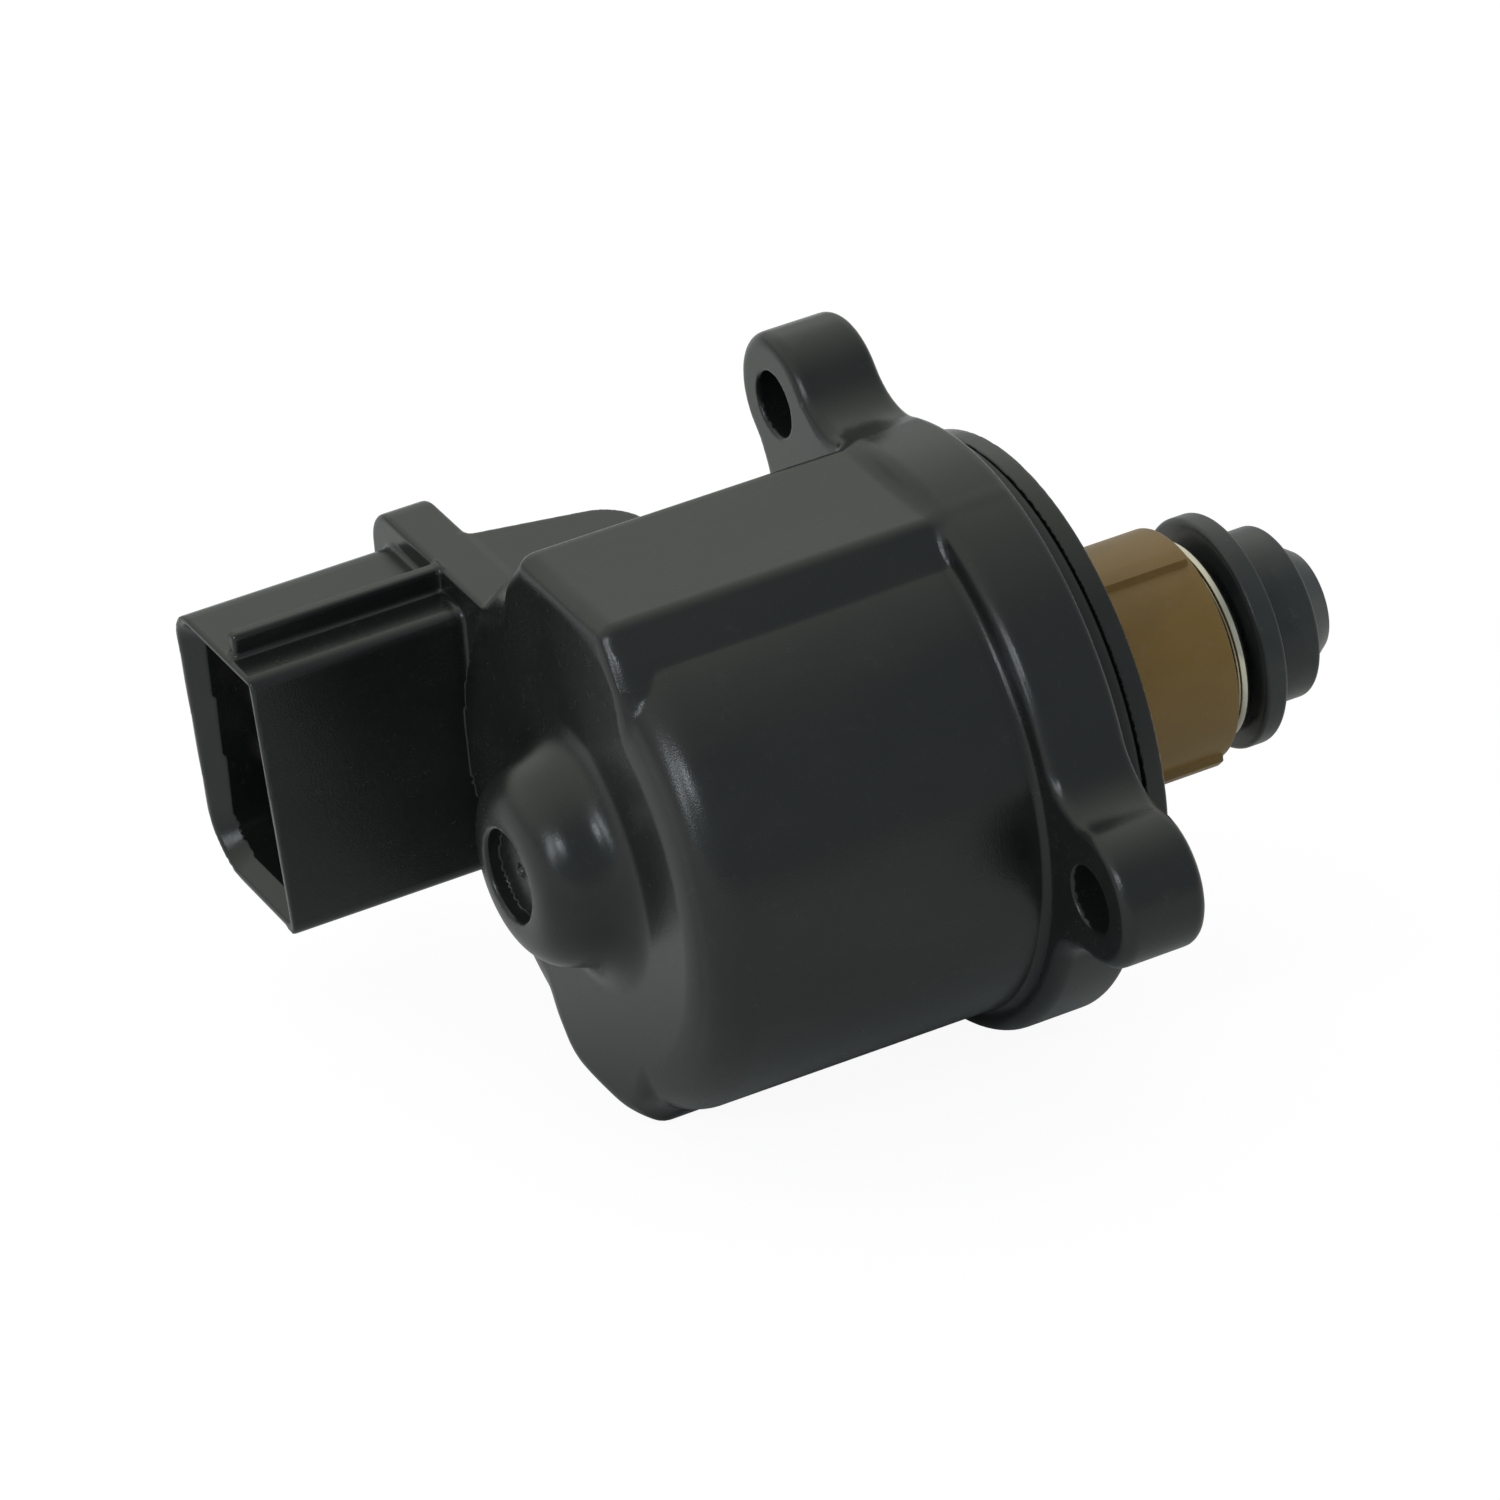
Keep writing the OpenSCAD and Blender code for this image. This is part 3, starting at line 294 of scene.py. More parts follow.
# Sizes of the moulded body in millimetres: the CAD's, with the edges as soft as the photograph shows
body = {
    "barrel": 18.52, "draft": 0.15, "rear": -30.15, "canFront": -1,
    "rimSlope": (0.3420, 0.9397), "rimReach": 33.496, "rimRound": 2.0, "rimFoot": 0.3, "rimFrom": (11, 2.5),
    "flangeRadius": 20.37, "flange": 6.0, "flangeFillet": 0.6,
    "flangeEdge": 1.2, "earEdge": 0.9, "frontEdge": 0.8, "edgeFade": 1.5,
    "pilot": 18.37, "pilotFrom": -3, "pilotEnd": 3.0, "pilotEdge": 0.25,
    "groove": 17.04, "grooveFrom": -0.3, "grooveTo": 1.5, "grooveEdge": 0.12, "relief": 18.74,
    "bore": 16.12, "boreEnd": -27.3, "seat": 5.53, "seatEnd": -33.01, "room": (-21.16, -15.44, 17.23, 5.23),
    "hubEnd": -35.31, "hubFront": -20, "hubFlat": 3.6, "dome": 3.5, "hubFillet": 2.7,
    "pocket": 3.1, "pocketEnd": -34.21, "pocketEdge": 0.3, "gate": 0.45, "gateRise": 0.37, "gateTaper": 0.5,
    "topPad": (5.1, 19.27, 8.0, 1.6, 2.4), "lowPad": (4.8, 18.77, 7.2, 2.4, 5.5), "padRear": -30.28,
    "padEdge": 1.2, "padRoot": 1.0, "padMeet": 0.6, "padFillet": (0.3, 2.5), "padFilletFrom": (-27.5, 2.5),
    "ears": (48.6, 180.0), "reach": 23.6, "ear": 4.8, "earBlend": 4.4, "hole": 2.25, "holeEdge": 0.25,
    "mouth": -44.0, "mouthEdge": 0.18, "lean": 3.2, "shroudLow": (16.7, -10.5), "shroudHigh": (28.8, 9.3),
    "shroudCorners": (0.8, 4.0, 0.8, 2.5), "shroudInto": 0.8, "shroudFillet": (0.35, 0.25),
    "shroudCrease": (-27, 1.5, 9, 2),
    "wall": 1.5, "lip": 0.5, "leadIn": 1.3, "floor": -30.2, "cavityEdge": 0.16,
    "bead": (17.4, -10.0, 0.7), "beadFillet": 0.3,
    "rib": (20.0, 21.0, 11.0), "ribStart": 0.5, "ribInto": 0.1, "ribCorners": (0.2, 0.2, 0.25, 0.25),
    "ribEdge": 0.3, "ribFillet": 0.35,
    "plate": (-29.0, -25.4), "plateHigh": (30.5, 11.0), "plateCorner": 2.8, "plateEdge": 0.35,
    "plateFillet": 0.4,
    "bridge": (23.4, 0.2327, -14.6), "bridgeEnd": 2.9, "bridgeHalf": 10.9, "bridgeEdge": 0.5,
    "bridgeInto": 0.3, "bridgeFillet": 0.35,
}


# 0 below start, 1 past start + width, straight between
def fade(value, start, width):
    return np.clip((value - start) / width, 0, 1)


# A pad: flat top and sloping sides met with rounded edges, then rounded off at its rear end
def padField(x, y, z, pad, b):
    half, top, foot, end, corner = pad
    rearRadius = b["barrel"] - b["draft"]
    footZ = math.sqrt(rearRadius ** 2 - foot ** 2)
    across, down = foot - half, top - b["padEdge"] - footZ
    tilt = math.atan2(across, down) + math.acos(b["padEdge"] / math.hypot(across, down))
    sine, cosine = math.sin(tilt), -math.cos(tilt)
    overY, overZ = np.abs(y) - half, z - top + b["padEdge"]
    flat = np.maximum(overZ, overY * sine + overZ * cosine)
    edge = (overY > 0) & (overY * cosine < overZ * sine)
    wedge = (np.abs(y) * footZ - z * (foot + b["padRoot"])) / rearRadius
    section = np.maximum(np.where(edge, np.hypot(overY, overZ), flat) - b["padEdge"], wedge)
    behind = b["padRear"] - x
    side = roundMeet(np.abs(y) - foot, behind, corner)
    return roundMeet(roundMeet(section, behind, end), side, b["padMeet"])


# The shroud with its bead and latch rib, the plate that it stands on and the bridge from that to the
# can, all joined, and the socket's cavity, which is cut from them later
def connectorField(x, y, z, b):
    plateRear, plateFront = b["plate"]
    turn = math.radians(b["lean"])
    depth = (x - b["mouth"]) * math.cos(turn) + z * math.sin(turn)
    outline = softRect(y, z, b["shroudLow"], b["shroudHigh"], b["shroudCorners"])
    beadY, beadZ, beadR = b["bead"]
    bead = np.maximum(np.hypot(y - beadY, np.minimum(z - beadZ, 0)) - beadR, z)
    ribNear, ribFar, ribHigh = b["rib"]
    rib = softRect(y, z, (ribNear, 0), (ribFar, ribHigh), b["ribCorners"])
    rib = np.maximum(rib, x - plateRear - b["ribInto"])
    ribRear = b["mouth"] - b["shroudHigh"][1] * math.tan(turn) + b["ribStart"]
    rib = roundMeet(rib, ribRear - x, b["ribEdge"])
    hood = roundJoin(roundJoin(outline, bead, b["beadFillet"]), rib, b["ribFillet"])
    hood = roundMeet(hood, -depth, b["mouthEdge"])
    hood = np.maximum(hood, x - plateRear - b["shroudInto"])
    plateLine = softRect(y, z, (0, -b["plateHigh"][1]), b["plateHigh"], (b["plateCorner"],) * 4)
    plate = roundMeet(plateLine, np.maximum(plateRear - x, x - plateFront), b["plateEdge"])
    wide, slope, front = b["bridge"]
    top = (y - wide) * math.cos(slope) + (x - plateFront) * math.sin(slope)
    plan = roundMeet(top, x - front, b["bridgeEnd"])
    bridge = roundMeet(plan, np.abs(z) - b["bridgeHalf"], b["bridgeEdge"])
    bridge = np.maximum(np.maximum(bridge, plateFront - b["bridgeInto"] - x), -y)
    form = roundJoin(roundJoin(hood, plate, b["plateFillet"]), bridge, b["bridgeFillet"])
    thick = b["lip"] + (b["wall"] - b["lip"]) * np.clip(depth / b["leadIn"], 0, 1)
    cavity = np.maximum(outline + thick, x - b["floor"])
    return form, cavity


# Flange with its two ears, in the plane across the axis and then given its thickness
def flangeField(x, y, z, r, b):
    line = r - b["flangeRadius"]
    blend = b["earBlend"]
    reach, side = b["flangeRadius"] + blend, b["ear"] + blend
    middle = math.sqrt(reach ** 2 - side ** 2)
    holes = None
    for degrees in b["ears"]:
        a = math.radians(degrees)
        along, over = y * math.cos(a) + z * math.sin(a), z * math.cos(a) - y * math.sin(a)
        ear = np.hypot(along - np.clip(along, 0, b["reach"]), over) - b["ear"]
        over = np.abs(over)
        wedge = np.maximum((over * middle - along * side) / reach, along - middle)
        wedge = np.maximum(wedge, blend - np.hypot(along - middle, over - side))
        line = np.minimum(np.minimum(line, ear), wedge)
        hole = np.hypot(along - b["reach"], over) - b["hole"]
        holes = hole if holes is None else np.minimum(holes, hole)
    out = fade(r, b["flangeRadius"], b["edgeFade"])
    rearEdge = b["flangeEdge"] + (b["earEdge"] - b["flangeEdge"]) * out
    frontEdge = b["frontEdge"] + (b["earEdge"] - b["frontEdge"]) * out
    slab = roundMeet(roundMeet(line, -b["flange"] - x, rearEdge), x, frontEdge)
    return slab, holes


# Everything solid is joined first, then holes, pocket, socket, groove and the hidden rooms are cut
def housingField(x, y, z, b=body):
    r = np.hypot(y, z)
    drafted = b["barrel"] + b["draft"] * np.clip((x + b["flange"]) / (-b["rear"] - b["flange"]), -1, 0)
    slant = r * b["rimSlope"][0] - x * b["rimSlope"][1] - b["rimReach"]
    barrel = np.maximum(roundMeet(r - drafted, slant, b["rimRound"]), x - b["canFront"])
    top = padField(x, y, z, b["topPad"], b)
    low = padField(x, y, -z, b["lowPad"], b)
    pads = np.maximum(np.minimum(top, low), x - b["canFront"])
    filletFrom, filletWidth = b["padFilletFrom"]
    rearFillet = b["padFillet"][0] + b["padFillet"][1] * fade(-x, -filletFrom, filletWidth)
    form = roundJoin(barrel, pads, rearFillet)
    face, outer = b["rear"] - x, fade(r, *b["rimFrom"])
    form = roundMeet(form, face, b["rimFoot"]) * outer + np.maximum(form, face) * (1 - outer)
    hub = roundMeet(r - b["hubFlat"] - b["dome"], b["hubEnd"] - x, b["dome"])
    form = roundJoin(form, np.maximum(hub, x - b["hubFront"]), b["hubFillet"])
    connector, cavity = connectorField(x, y, z, b)
    creaseX, creaseDeep, creaseZ, creaseWide = b["shroudCrease"]
    crease = fade(-x, -creaseX, creaseDeep) * fade(-np.abs(z), -creaseZ, creaseWide)
    form = roundJoin(form, connector, b["shroudFillet"][0] - b["shroudFillet"][1] * crease)
    slab, holes = flangeField(x, y, z, r, b)
    form = roundJoin(form, slab, b["flangeFillet"])
    pilot = roundMeet(r - b["pilot"], x - b["pilotEnd"], b["pilotEdge"])
    form = np.minimum(form, np.maximum(pilot, b["pilotFrom"] - x))
    groove = np.maximum(np.maximum(b["grooveFrom"] - x, x - b["grooveTo"]), b["groove"] - r)
    groove = np.maximum(groove, r - b["relief"])
    bore = np.maximum(r - b["bore"], b["boreEnd"] - x)
    seat = np.maximum(r - b["seat"], b["seatEnd"] - x)
    pocket = np.maximum(r - b["pocket"], x - b["pocketEnd"])
    behind = b["pocketEnd"] - x
    gate = np.maximum(r - b["gate"] * (1 - b["gateTaper"] * behind / b["gateRise"]), behind - b["gateRise"])
    pocket = np.maximum(pocket, -gate)
    roomRear, roomFront, roomTop, roomHalf = b["room"]
    room = np.maximum(np.abs(x - (roomRear + roomFront) / 2) - (roomFront - roomRear) / 2,
                      np.maximum(np.maximum(-y, y - roomTop), np.abs(z) - roomHalf))
    form = roundMeet(form, -holes, b["holeEdge"])
    form = roundMeet(form, -pocket, b["pocketEdge"])
    form = roundMeet(form, -cavity, b["cavityEdge"])
    form = roundMeet(form, -groove, b["grooveEdge"])
    return np.maximum(form, -np.minimum(np.minimum(bore, seat), room))


# Surface nets: one point in each grid cell that the zero surface crosses, at the mean of its crossings
# on the cell's edges, and one quad round each grid edge that it crosses
def surfaceNets(field, axes):
    xs, ys, zs = axes
    values = field(xs[:, None, None], ys[None, :, None], zs[None, None, :])
    inside = values < 0
    n = [len(a) - 1 for a in axes]
    corners = [(i, j, k) for i in (0, 1) for j in (0, 1) for k in (0, 1)]
    count = np.zeros(n, np.int8)
    for i, j, k in corners:
        count += inside[i:n[0] + i, j:n[1] + j, k:n[2] + k]
    cells = np.argwhere((count > 0) & (count < 8))
    number = np.full(n, -1, np.int32)
    number[tuple(cells.T)] = np.arange(len(cells), dtype=np.int32)
    at = [values[tuple((cells + c).T)] for c in corners]
    total, hits = np.zeros((len(cells), 3)), np.zeros((len(cells), 1))
    for p, first in enumerate(corners):
        for q, second in enumerate(corners):
            if q <= p or sum(abs(a - b) for a, b in zip(first, second)) != 1:
                continue
            crossed = (at[p] < 0) != (at[q] < 0)
            share = np.where(crossed, at[p] / np.where(crossed, at[p] - at[q], 1), 0)[:, None]
            spot = np.array(first) + share * (np.array(second) - np.array(first))
            total += spot * crossed[:, None]
            hits += crossed[:, None]
    spot = total / hits
    points = np.empty((len(cells), 3))
    for c in range(3):
        step = np.diff(axes[c])
        points[:, c] = axes[c][cells[:, c]] + spot[:, c] * step[cells[:, c]]
    quads = []
    for c in range(3):
        u, v = (c + 1) % 3, (c + 2) % 3
        low = [slice(1, m) for m in n]
        low[c] = slice(0, n[c])
        high = list(low)
        high[c] = slice(1, n[c] + 1)
        a, b = inside[tuple(low)], inside[tuple(high)]
        where = np.argwhere(a != b)
        shift = np.ones(3, int)
        shift[c] = 0
        where = where + shift
        outward = inside[tuple(where.T)]
        ring = []
        for du, dv in ((0, 0), (1, 0), (1, 1), (0, 1)):
            cell = where.copy()
            cell[:, u] -= du
            cell[:, v] -= dv
            ring.append(number[tuple(cell.T)])
        ring = np.stack(ring, 1)
        ring[~outward] = ring[~outward][:, ::-1]
        quads.append(ring)
    return points, np.concatenate(quads)


# Direction in which the field grows fastest, from differences over a small step
def slopeOf(field, points, level, step=0.01):
    slope = np.empty_like(points)
    for c in range(3):
        ahead = points.copy()
        ahead[:, c] += step
        slope[:, c] = (field(*ahead.T) - level) / step
    return slope


# Newton steps towards the zero surface: each point moves along the slope by level / slope squared
def settle(field, points, rounds=3, limit=0.1, least=0.05):
    for _ in range(rounds):
        level = field(*points.T)
        slope = slopeOf(field, points, level)
        move = (level / np.maximum((slope ** 2).sum(1), least))[:, None] * slope
        points = points - np.clip(move, -limit, limit)
    return points


# A mesh object from points in millimetres and faces, with smooth faces
def meshObject(name, points, faces, material):
    mesh = bpy.data.meshes.new(name)
    size = faces.shape[1]
    mesh.vertices.add(len(points))
    mesh.vertices.foreach_set("co", (points / perMetre).astype(np.float32).ravel())
    mesh.loops.add(faces.size)
    mesh.loops.foreach_set("vertex_index", faces.astype(np.int32).ravel())
    mesh.polygons.add(len(faces))
    mesh.polygons.foreach_set("loop_start", np.arange(0, faces.size, size, dtype=np.int32))
    mesh.update(calc_edges=True)
    mesh.validate()
    mesh.shade_smooth()
    mesh.materials.append(material)
    obj = bpy.data.objects.new(name, mesh)
    bpy.context.scene.collection.objects.link(obj)
    return obj


# The same form with fewer triangles: flat parts are thinned, then the points go back to the surface
# and the shading normals come from the formula's slope
def thin(obj, field, share):
    modifier = obj.modifiers.new("thin", "DECIMATE")
    modifier.ratio = share
    graph = bpy.context.evaluated_depsgraph_get()
    mesh = bpy.data.meshes.new_from_object(obj.evaluated_get(graph))
    obj.modifiers.clear()
    obj.data = mesh
    points = np.empty(len(mesh.vertices) * 3, np.float32)
    mesh.vertices.foreach_get("co", points)
    points = settle(field, points.reshape(-1, 3).astype(float) * perMetre, rounds=2, limit=0.05)
    mesh.vertices.foreach_set("co", (points / perMetre).astype(np.float32).ravel())
    mesh.update()
    slope = slopeOf(field, points, field(*points.T))
    slope /= np.maximum(np.linalg.norm(slope, axis=1, keepdims=True), 1e-9)
    mesh.normals_split_custom_set_from_vertices(slope.tolist())


# The box of cells that holds the body, their pitch in millimetres and the share of triangles that stays
grid = {"pitch": 0.27, "x": (-45.4, 3.6), "y": (-29.2, 31.4), "z": (-20.9, 23.4), "share": 0.72}


def makeHousing(g):
    axes = [np.arange(*g[axis], g["pitch"], dtype=np.float32) for axis in "xyz"]
    points, quads = surfaceNets(housingField, axes)
    points = settle(housingField, points)
    obj = meshObject("housingForm", points, quads, bodyPlastic)
    thin(obj, housingField, g["share"])
    print("housing", len(obj.data.polygons), "triangles")
    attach(obj, "housing")
    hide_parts("housing")


makeHousing(grid)
print("housing made")


# A surface turned about X: the point with radius r at angle a is (x, r cos a, r sin a). The profile
# is a closed run of (x, r) pairs, and radius(a, x, r) may push its points out or in
def turnedForm(name, profile, angles, material, radius=None):
    x, r = np.array(profile, float).T
    a = np.asarray(angles)[:, None]
    r = np.broadcast_to(r, (len(a), len(x)))
    if radius is not None:
        r = radius(a, x[None, :], r)
    points = np.stack([np.broadcast_to(x, r.shape), r * np.cos(a), r * np.sin(a)], -1)
    return meshObject(name, points.reshape(-1, 3), loopGrid(len(a), len(x)), material)


# Quads over a grid that closes on itself both ways
def loopGrid(rows, columns):
    i, j = np.meshgrid(np.arange(rows), np.arange(columns), indexing="ij")
    k, m = (i + 1) % rows, (j + 1) % columns
    return np.stack([i * columns + j, i * columns + m, k * columns + m, k * columns + j], -1).reshape(-1, 4)


# A closed profile with each corner rounded by its own radius: an arc between the two tangent points
def roundedRun(corners, steps=5):
    run = []
    for i, (x, r, radius) in enumerate(corners):
        here = np.array((x, r))
        before, after = (np.array(corners[k % len(corners)][:2]) for k in (i - 1, i + 1))
        back, ahead = before - here, after - here
        if radius == 0:
            run.append(here)
            continue
        back, ahead = back / np.linalg.norm(back), ahead / np.linalg.norm(ahead)
        half = math.acos(max(-1, min(1, float(back @ ahead)))) / 2
        middle = here + (back + ahead) / np.linalg.norm(back + ahead) * radius / math.sin(half)
        start, end = here + back * radius / math.tan(half), here + ahead * radius / math.tan(half)
        t = np.linspace(0, 1, steps + 1)[:, None]
        arc = start * (1 - t) + end * t - middle
        run.extend(middle + arc / np.linalg.norm(arc, axis=1, keepdims=True) * radius)
    return run


def finishPiece(obj, bodyName, node, sharpFrom=35):
    obj.data.set_sharp_from_angle(angle=math.radians(sharpFrom))
    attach(obj, bodyName)
    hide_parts(node)
    print(obj.name, len(obj.data.polygons), "faces")


# Brown guide: skirt, plate, bearing seat and spring pocket in one turned profile of (x, r, corner radius)
guide = {
    "corners": [
        (-8.5, 14.09, 0.2), (-8.5, 16.09, 0.2), (2.5, 16.09, 0.3), (2.5, 8.05, 0.15), (14.5, 8.05, 0.16),
        (14.5, 7.3, 0.16), (3.7, 7.3, 0.2), (3.7, 4.06, 0.2), (9.0, 4.06, 0.25), (9.0, 2.46, 0.2),
        (-3.2, 2.46, 0.1), (-3.2, 6.72, 0), (-4.0, 6.72, 0.05), (-4.0, 8.03, 0), (-8.0, 8.03, 0.2),
        (-8.0, 9.43, 0.2), (-0.5, 9.43, 0.3), (-0.5, 14.09, 0.3),
    ],
    "sleeve": 8.05, "sleeveFrom": 2.7, "sleeveTo": 14.3, "tip": 13.5, "rows": 12, "tipRows": 17, "sides": 240,
    "flat": 1.86, "bore": 3.0, "ribs": (105, 225, 345), "ribHalf": 0.6, "ribHigh": 0.45, "ribEnd": 14.05,
    "ribFrom": 2.65, "soft": 0.14, "barrel": 7.9, "barrelEnd": 8.2, "ribAt": 8.25, "ribSpan": 1.2,
    "ribLines": 33,
}


def makeGuide(g):
    lines = np.linspace(0, 360, g["sides"], endpoint=False)
    edge = np.linspace(-g["ribSpan"], g["ribSpan"], g["ribLines"]) / g["ribAt"] * 180 / math.pi
    angles = np.radians(np.unique(np.round(np.concatenate([lines] + [a + edge for a in g["ribs"]]) % 360, 4)))
    profile = roundedRun(g["corners"])
    onSleeve = [i for i, (x, r) in enumerate(profile) if abs(r - g["sleeve"]) < 0.001]
    first, last = onSleeve[0], onSleeve[-1]
    rows = np.linspace(g["sleeveFrom"], g["tip"], g["rows"])
    rows = np.unique(np.concatenate([rows, np.linspace(g["tip"], g["sleeveTo"], g["tipRows"])]))
    profile[first + 1:last] = [np.array((x, g["sleeve"])) for x in rows]

    # Ribs: the sleeve's radius grows inside a softened box of angle and X; the shank's bore has two flats
    def radius(a, x, r):
        grown = r
        for degrees in g["ribs"]:
            turn = (a - math.radians(degrees) + math.pi) % (2 * math.pi) - math.pi
            inside = np.minimum(g["ribHalf"] - np.abs(turn) * g["ribAt"], g["ribEnd"] - x)
            t = np.clip(inside / g["soft"] + 0.5, 0, 1)
            outer = (r > g["barrel"]) & (r < g["barrelEnd"]) & (x > g["ribFrom"])
            grown = np.where(outer, np.maximum(grown, r + g["ribHigh"] * t * t * (3 - 2 * t)), grown)
        flat = np.minimum(r, g["flat"] / np.maximum(np.abs(np.sin(a)), 0.01))
        return np.where(r < g["bore"], flat, grown)

    obj = turnedForm("guideForm", profile, angles, guidePlastic, radius)
    finishPiece(obj, "housing", "guide_sleeve")


# Valve head: seat disc, nose and cone as one turned profile round its blind spigot hole
head = {
    "corners": [
        (16.6, 1.73, 0.1), (16.6, 8.0, 0.35), (18.3, 8.0, 0.35), (18.3, 5.95, 0.12), (22.05, 5.95, 0.35),
        (22.05, 4.94, 0.12), (24.25, 3.4, 0.3), (24.25, 0.01, 0), (20.8, 0.01, 0), (20.8, 1.73, 0.1),
    ],
    "sides": 192, "steps": 8,
}


def makeHead(h):
    angles = np.linspace(0, 2 * math.pi, h["sides"], endpoint=False)
    obj = turnedForm("headForm", roundedRun(h["corners"], h["steps"]), angles, headPlastic)
    finishPiece(obj, "pintle", "valve_head")


# Seal: a slightly squared circle carried round the axis. Squared means that the sine and cosine of its
# section go to a power below 1
seal = {"x": 0.6, "ring": 17.87, "section": 0.8, "square": 0.7, "sides": 240, "steps": 40}


def makeSeal(k):
    t = np.linspace(0, 2 * math.pi, k["steps"], endpoint=False)
    over, out = (np.sign(w) * np.abs(w) ** k["square"] for w in (np.sin(t), np.cos(t)))
    profile = np.stack([k["x"] + k["section"] * over, k["ring"] + k["section"] * out], -1)
    angles = np.linspace(0, 2 * math.pi, k["sides"], endpoint=False)
    obj = turnedForm("sealForm", profile, angles, sealRubber)
    finishPiece(obj, "housing", "o_ring")


# Spring: a round wire carried along a helix whose X rises by the pitch in each closed end turn and
# faster in the open turns between, with the change between them softened over a few rows
coil = {"radius": 6.55, "wire": 0.45, "from": 4.18, "to": 16.12, "closed": 2, "open": 4, "pitch": 0.95,
        "steps": 72, "sides": 20, "soften": 9, "sharpFrom": 50}


def makeSpring(k):
    turns = k["open"] + 2 * k["closed"]
    rows, n = turns * k["steps"] + 1, k["soften"]
    t = np.linspace(0, turns, rows)
    knots = [0, k["closed"], turns - k["closed"], turns]
    heights = [k["from"], k["from"] + k["closed"] * k["pitch"], k["to"] - k["closed"] * k["pitch"], k["to"]]
    x = np.interp(t, knots, heights)
    soft = np.hanning(2 * n + 1)
    padded = np.concatenate([x[0] + (t[:n] - t[n]) * k["pitch"], x, x[-1] + (t[1:n + 1] - t[0]) * k["pitch"]])
    x = np.convolve(padded, soft / soft.sum(), "valid")
    a, s = 2 * math.pi * t[:, None], np.linspace(0, 2 * math.pi, k["sides"], endpoint=False)[None, :]
    r = k["radius"] + k["wire"] * np.cos(s)
    along = x[:, None] + k["wire"] * np.sin(s)
    points = np.stack([along, r * np.cos(a), r * np.sin(a)], -1).reshape(-1, 3)
    middles = np.stack([x, k["radius"] * np.cos(a[:, 0]), k["radius"] * np.sin(a[:, 0])], -1)[[0, -1]]
    points = np.concatenate([points, middles])
    walls = loopGrid(rows, k["sides"])[:(rows - 1) * k["sides"]]
    j = np.arange(k["sides"])
    first = np.stack([np.full_like(j, rows * k["sides"]), (j + 1) % k["sides"], j], -1)
    base = (rows - 1) * k["sides"]
    last = np.stack([np.full_like(j, rows * k["sides"] + 1), base + j, base + (j + 1) % k["sides"]], -1)
    triangles = np.concatenate([walls[:, [0, 1, 2]], walls[:, [0, 2, 3]], first, last])
    obj = meshObject("springForm", points, triangles, springSteel)
    obj.data.set_sharp_from_angle(angle=math.radians(k["sharpFrom"]))
    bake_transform(obj)
    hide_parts("spring")
    print("springForm", len(obj.data.polygons), "faces")


makeGuide(guide)
makeHead(head)
makeSeal(seal)
makeSpring(coil)
print("small pieces made")

# Floor under the flange and the rear pad: the camera sees its glow, and its paint takes the shadow
floorLook = {
    "front": (0.000, -0.0204), "rear": (-0.027, -0.0189), "size": 3.0, "colour": 0.80, "speck": 0.03,
    "speckScale": 0.6, "glow": 1.1, "share": 0.85, "glossy": 0.32, "beyond": (-4.0, 16.0),
}


# Share of the white background that a ray sees: all of it from the camera, less in reflections
def rays(f, glossy):
    camera = f.add("ShaderNodeLightPath", out="Is Camera Ray")
    through = f.add("ShaderNodeLightPath", out="Is Transmission Ray")
    mirrored = f.add("ShaderNodeLightPath", out="Is Glossy Ray")
    return camera.op("MAXIMUM", through).op("MAXIMUM", mirrored * glossy)


def makeFloor(look):
    (x0, z0), (x1, z1) = look["front"], look["rear"]
    slope, half = (z1 - z0) / (x1 - x0), look["size"] / 2
    square = [(-half, -half), (half, -half), (half, half), (-half, half)]
    corners = [(x, y, z0 + slope * (x - x0)) for x, y in square]
    mesh = bpy.data.meshes.new("floor")
    mesh.from_pydata(corners, [], [(0, 1, 2, 3)])
    floor = bpy.data.objects.new("floor", mesh)
    bpy.context.scene.collection.objects.link(floor)
    f = Finish("floorPaint")
    speck = f.noise(f.place(), look["speckScale"], 2.0)
    base = f.mix(speck, grey(look["colour"]), grey(look["colour"] + look["speck"]))
    paint = f.add("ShaderNodeBsdfDiffuse", None, {"Color": base})
    glow = f.add("ShaderNodeEmission", None, {"Color": grey(1), "Strength": look["glow"]})
    across = f.add("ShaderNodeSeparateXYZ", None, {0: f.place()}, out="Y")
    share = rays(f, across.over(*look["beyond"]) * look["glossy"]) * look["share"]
    shown = f.add("ShaderNodeMixShader", None, {0: share, 1: paint, 2: glow})
    f.add("ShaderNodeOutputMaterial", None, {"Surface": shown})
    mesh.materials.append(f.material)


makeFloor(floorLook)

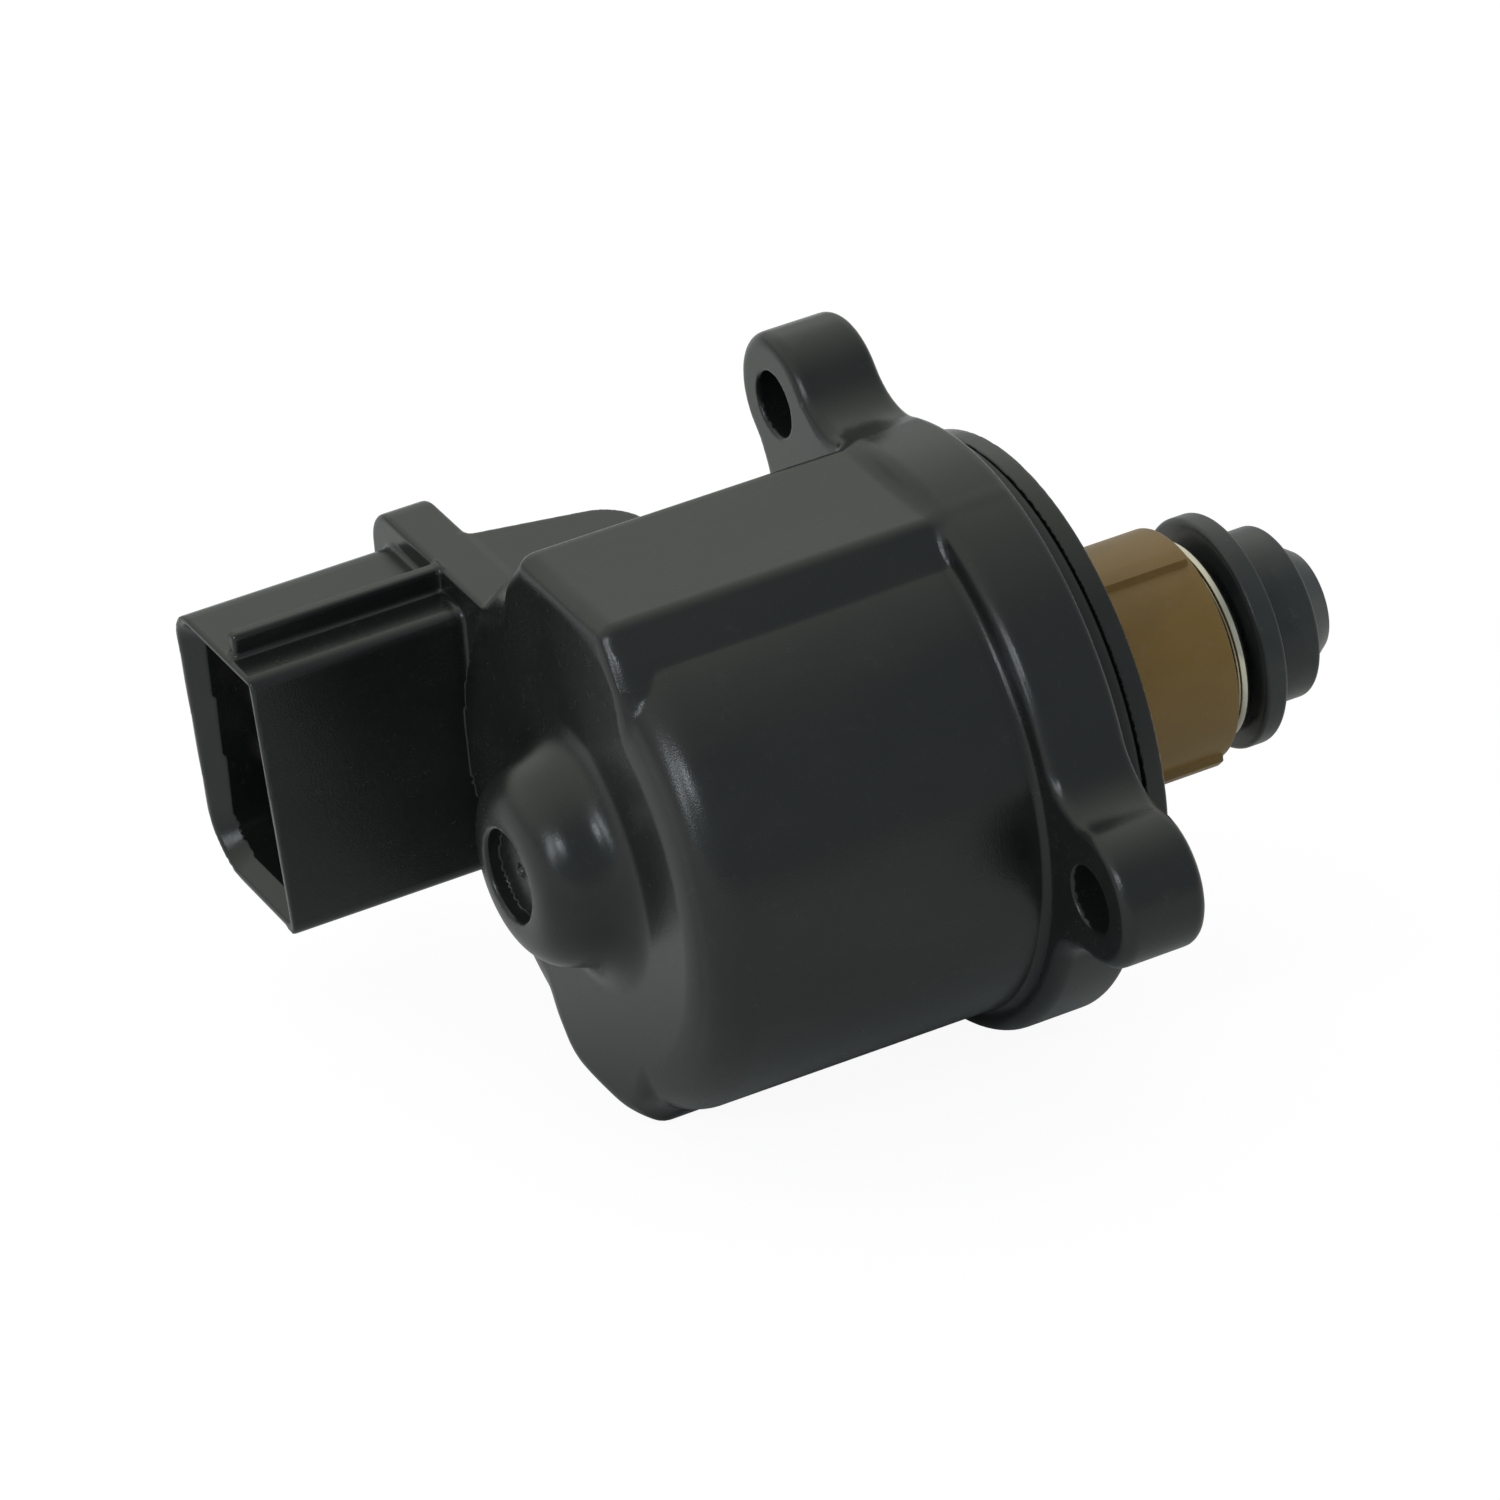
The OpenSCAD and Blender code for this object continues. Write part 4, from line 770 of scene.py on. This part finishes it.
# Studio: a soft tent, brightest above and beyond the valve and dimmer round the camera, with a small
# cool lamp behind and above the hub and a narrow one that draws the streak on the can's rear edge
studio = {
    "bright": (0.93, 0.96, 0.86, 1), "dim": (0.29, 0.33, 0.335, 1), "towards": (-0.15, 0.80, 0.58),
    "spread": (-0.1, 1.0), "horizon": (-0.05, 0.45), "glossy": 0.12,
    "lamps": [
        {"name": "hubLamp", "at": (-0.447, -0.271, 0.335), "to": (-0.03, 0, 0), "size": (0.035, 0.035),
         "watts": 0.36, "tint": (0.86, 0.94, 1.0)},
        {"name": "rimStrip", "at": (-0.540, -0.135, 0.215), "to": (-0.02, 0, 0), "size": (0.022, 0.20),
         "watts": 0.35, "tint": (0.88, 0.95, 1.0)},
    ],
}


def makeWorld(look):
    world = bpy.data.worlds.new("studio")
    bpy.context.scene.world = world
    world.use_nodes = True
    f = Finish("studio", world.node_tree)
    away = f.add("ShaderNodeTexCoord", out="Generated")
    towards = {0: away, 1: look["towards"]}
    facing = f.add("ShaderNodeVectorMath", {"operation": "DOT_PRODUCT"}, towards, out="Value")
    height = f.add("ShaderNodeSeparateXYZ", None, {0: away}, out="Z")
    level = f.mix(facing.over(*look["spread"]) * height.over(*look["horizon"]), look["dim"], look["bright"])
    colour = f.mix(rays(f, look["glossy"]), level, grey(1))
    sky = f.add("ShaderNodeBackground", None, {"Color": colour, "Strength": 1.0})
    f.add("ShaderNodeOutputWorld", None, {"Surface": sky})


def makeLamp(look):
    data = bpy.data.lights.new(look["name"], "AREA")
    data.shape, data.size, data.size_y = "RECTANGLE", *look["size"]
    data.energy, data.color = look["watts"], look["tint"]
    lamp = bpy.data.objects.new(look["name"], data)
    bpy.context.scene.collection.objects.link(lamp)
    lamp.location = look["at"]
    aim = Vector(look["to"]) - Vector(look["at"])
    lamp.rotation_mode = "QUATERNION"
    lamp.rotation_quaternion = aim.to_track_quat("-Z", "Y")


makeWorld(studio)
for look in studio["lamps"]:
    makeLamp(look)
bpy.context.scene.view_settings.view_transform = "Standard"
print("studio lit")

bpy.context.view_layer.update()
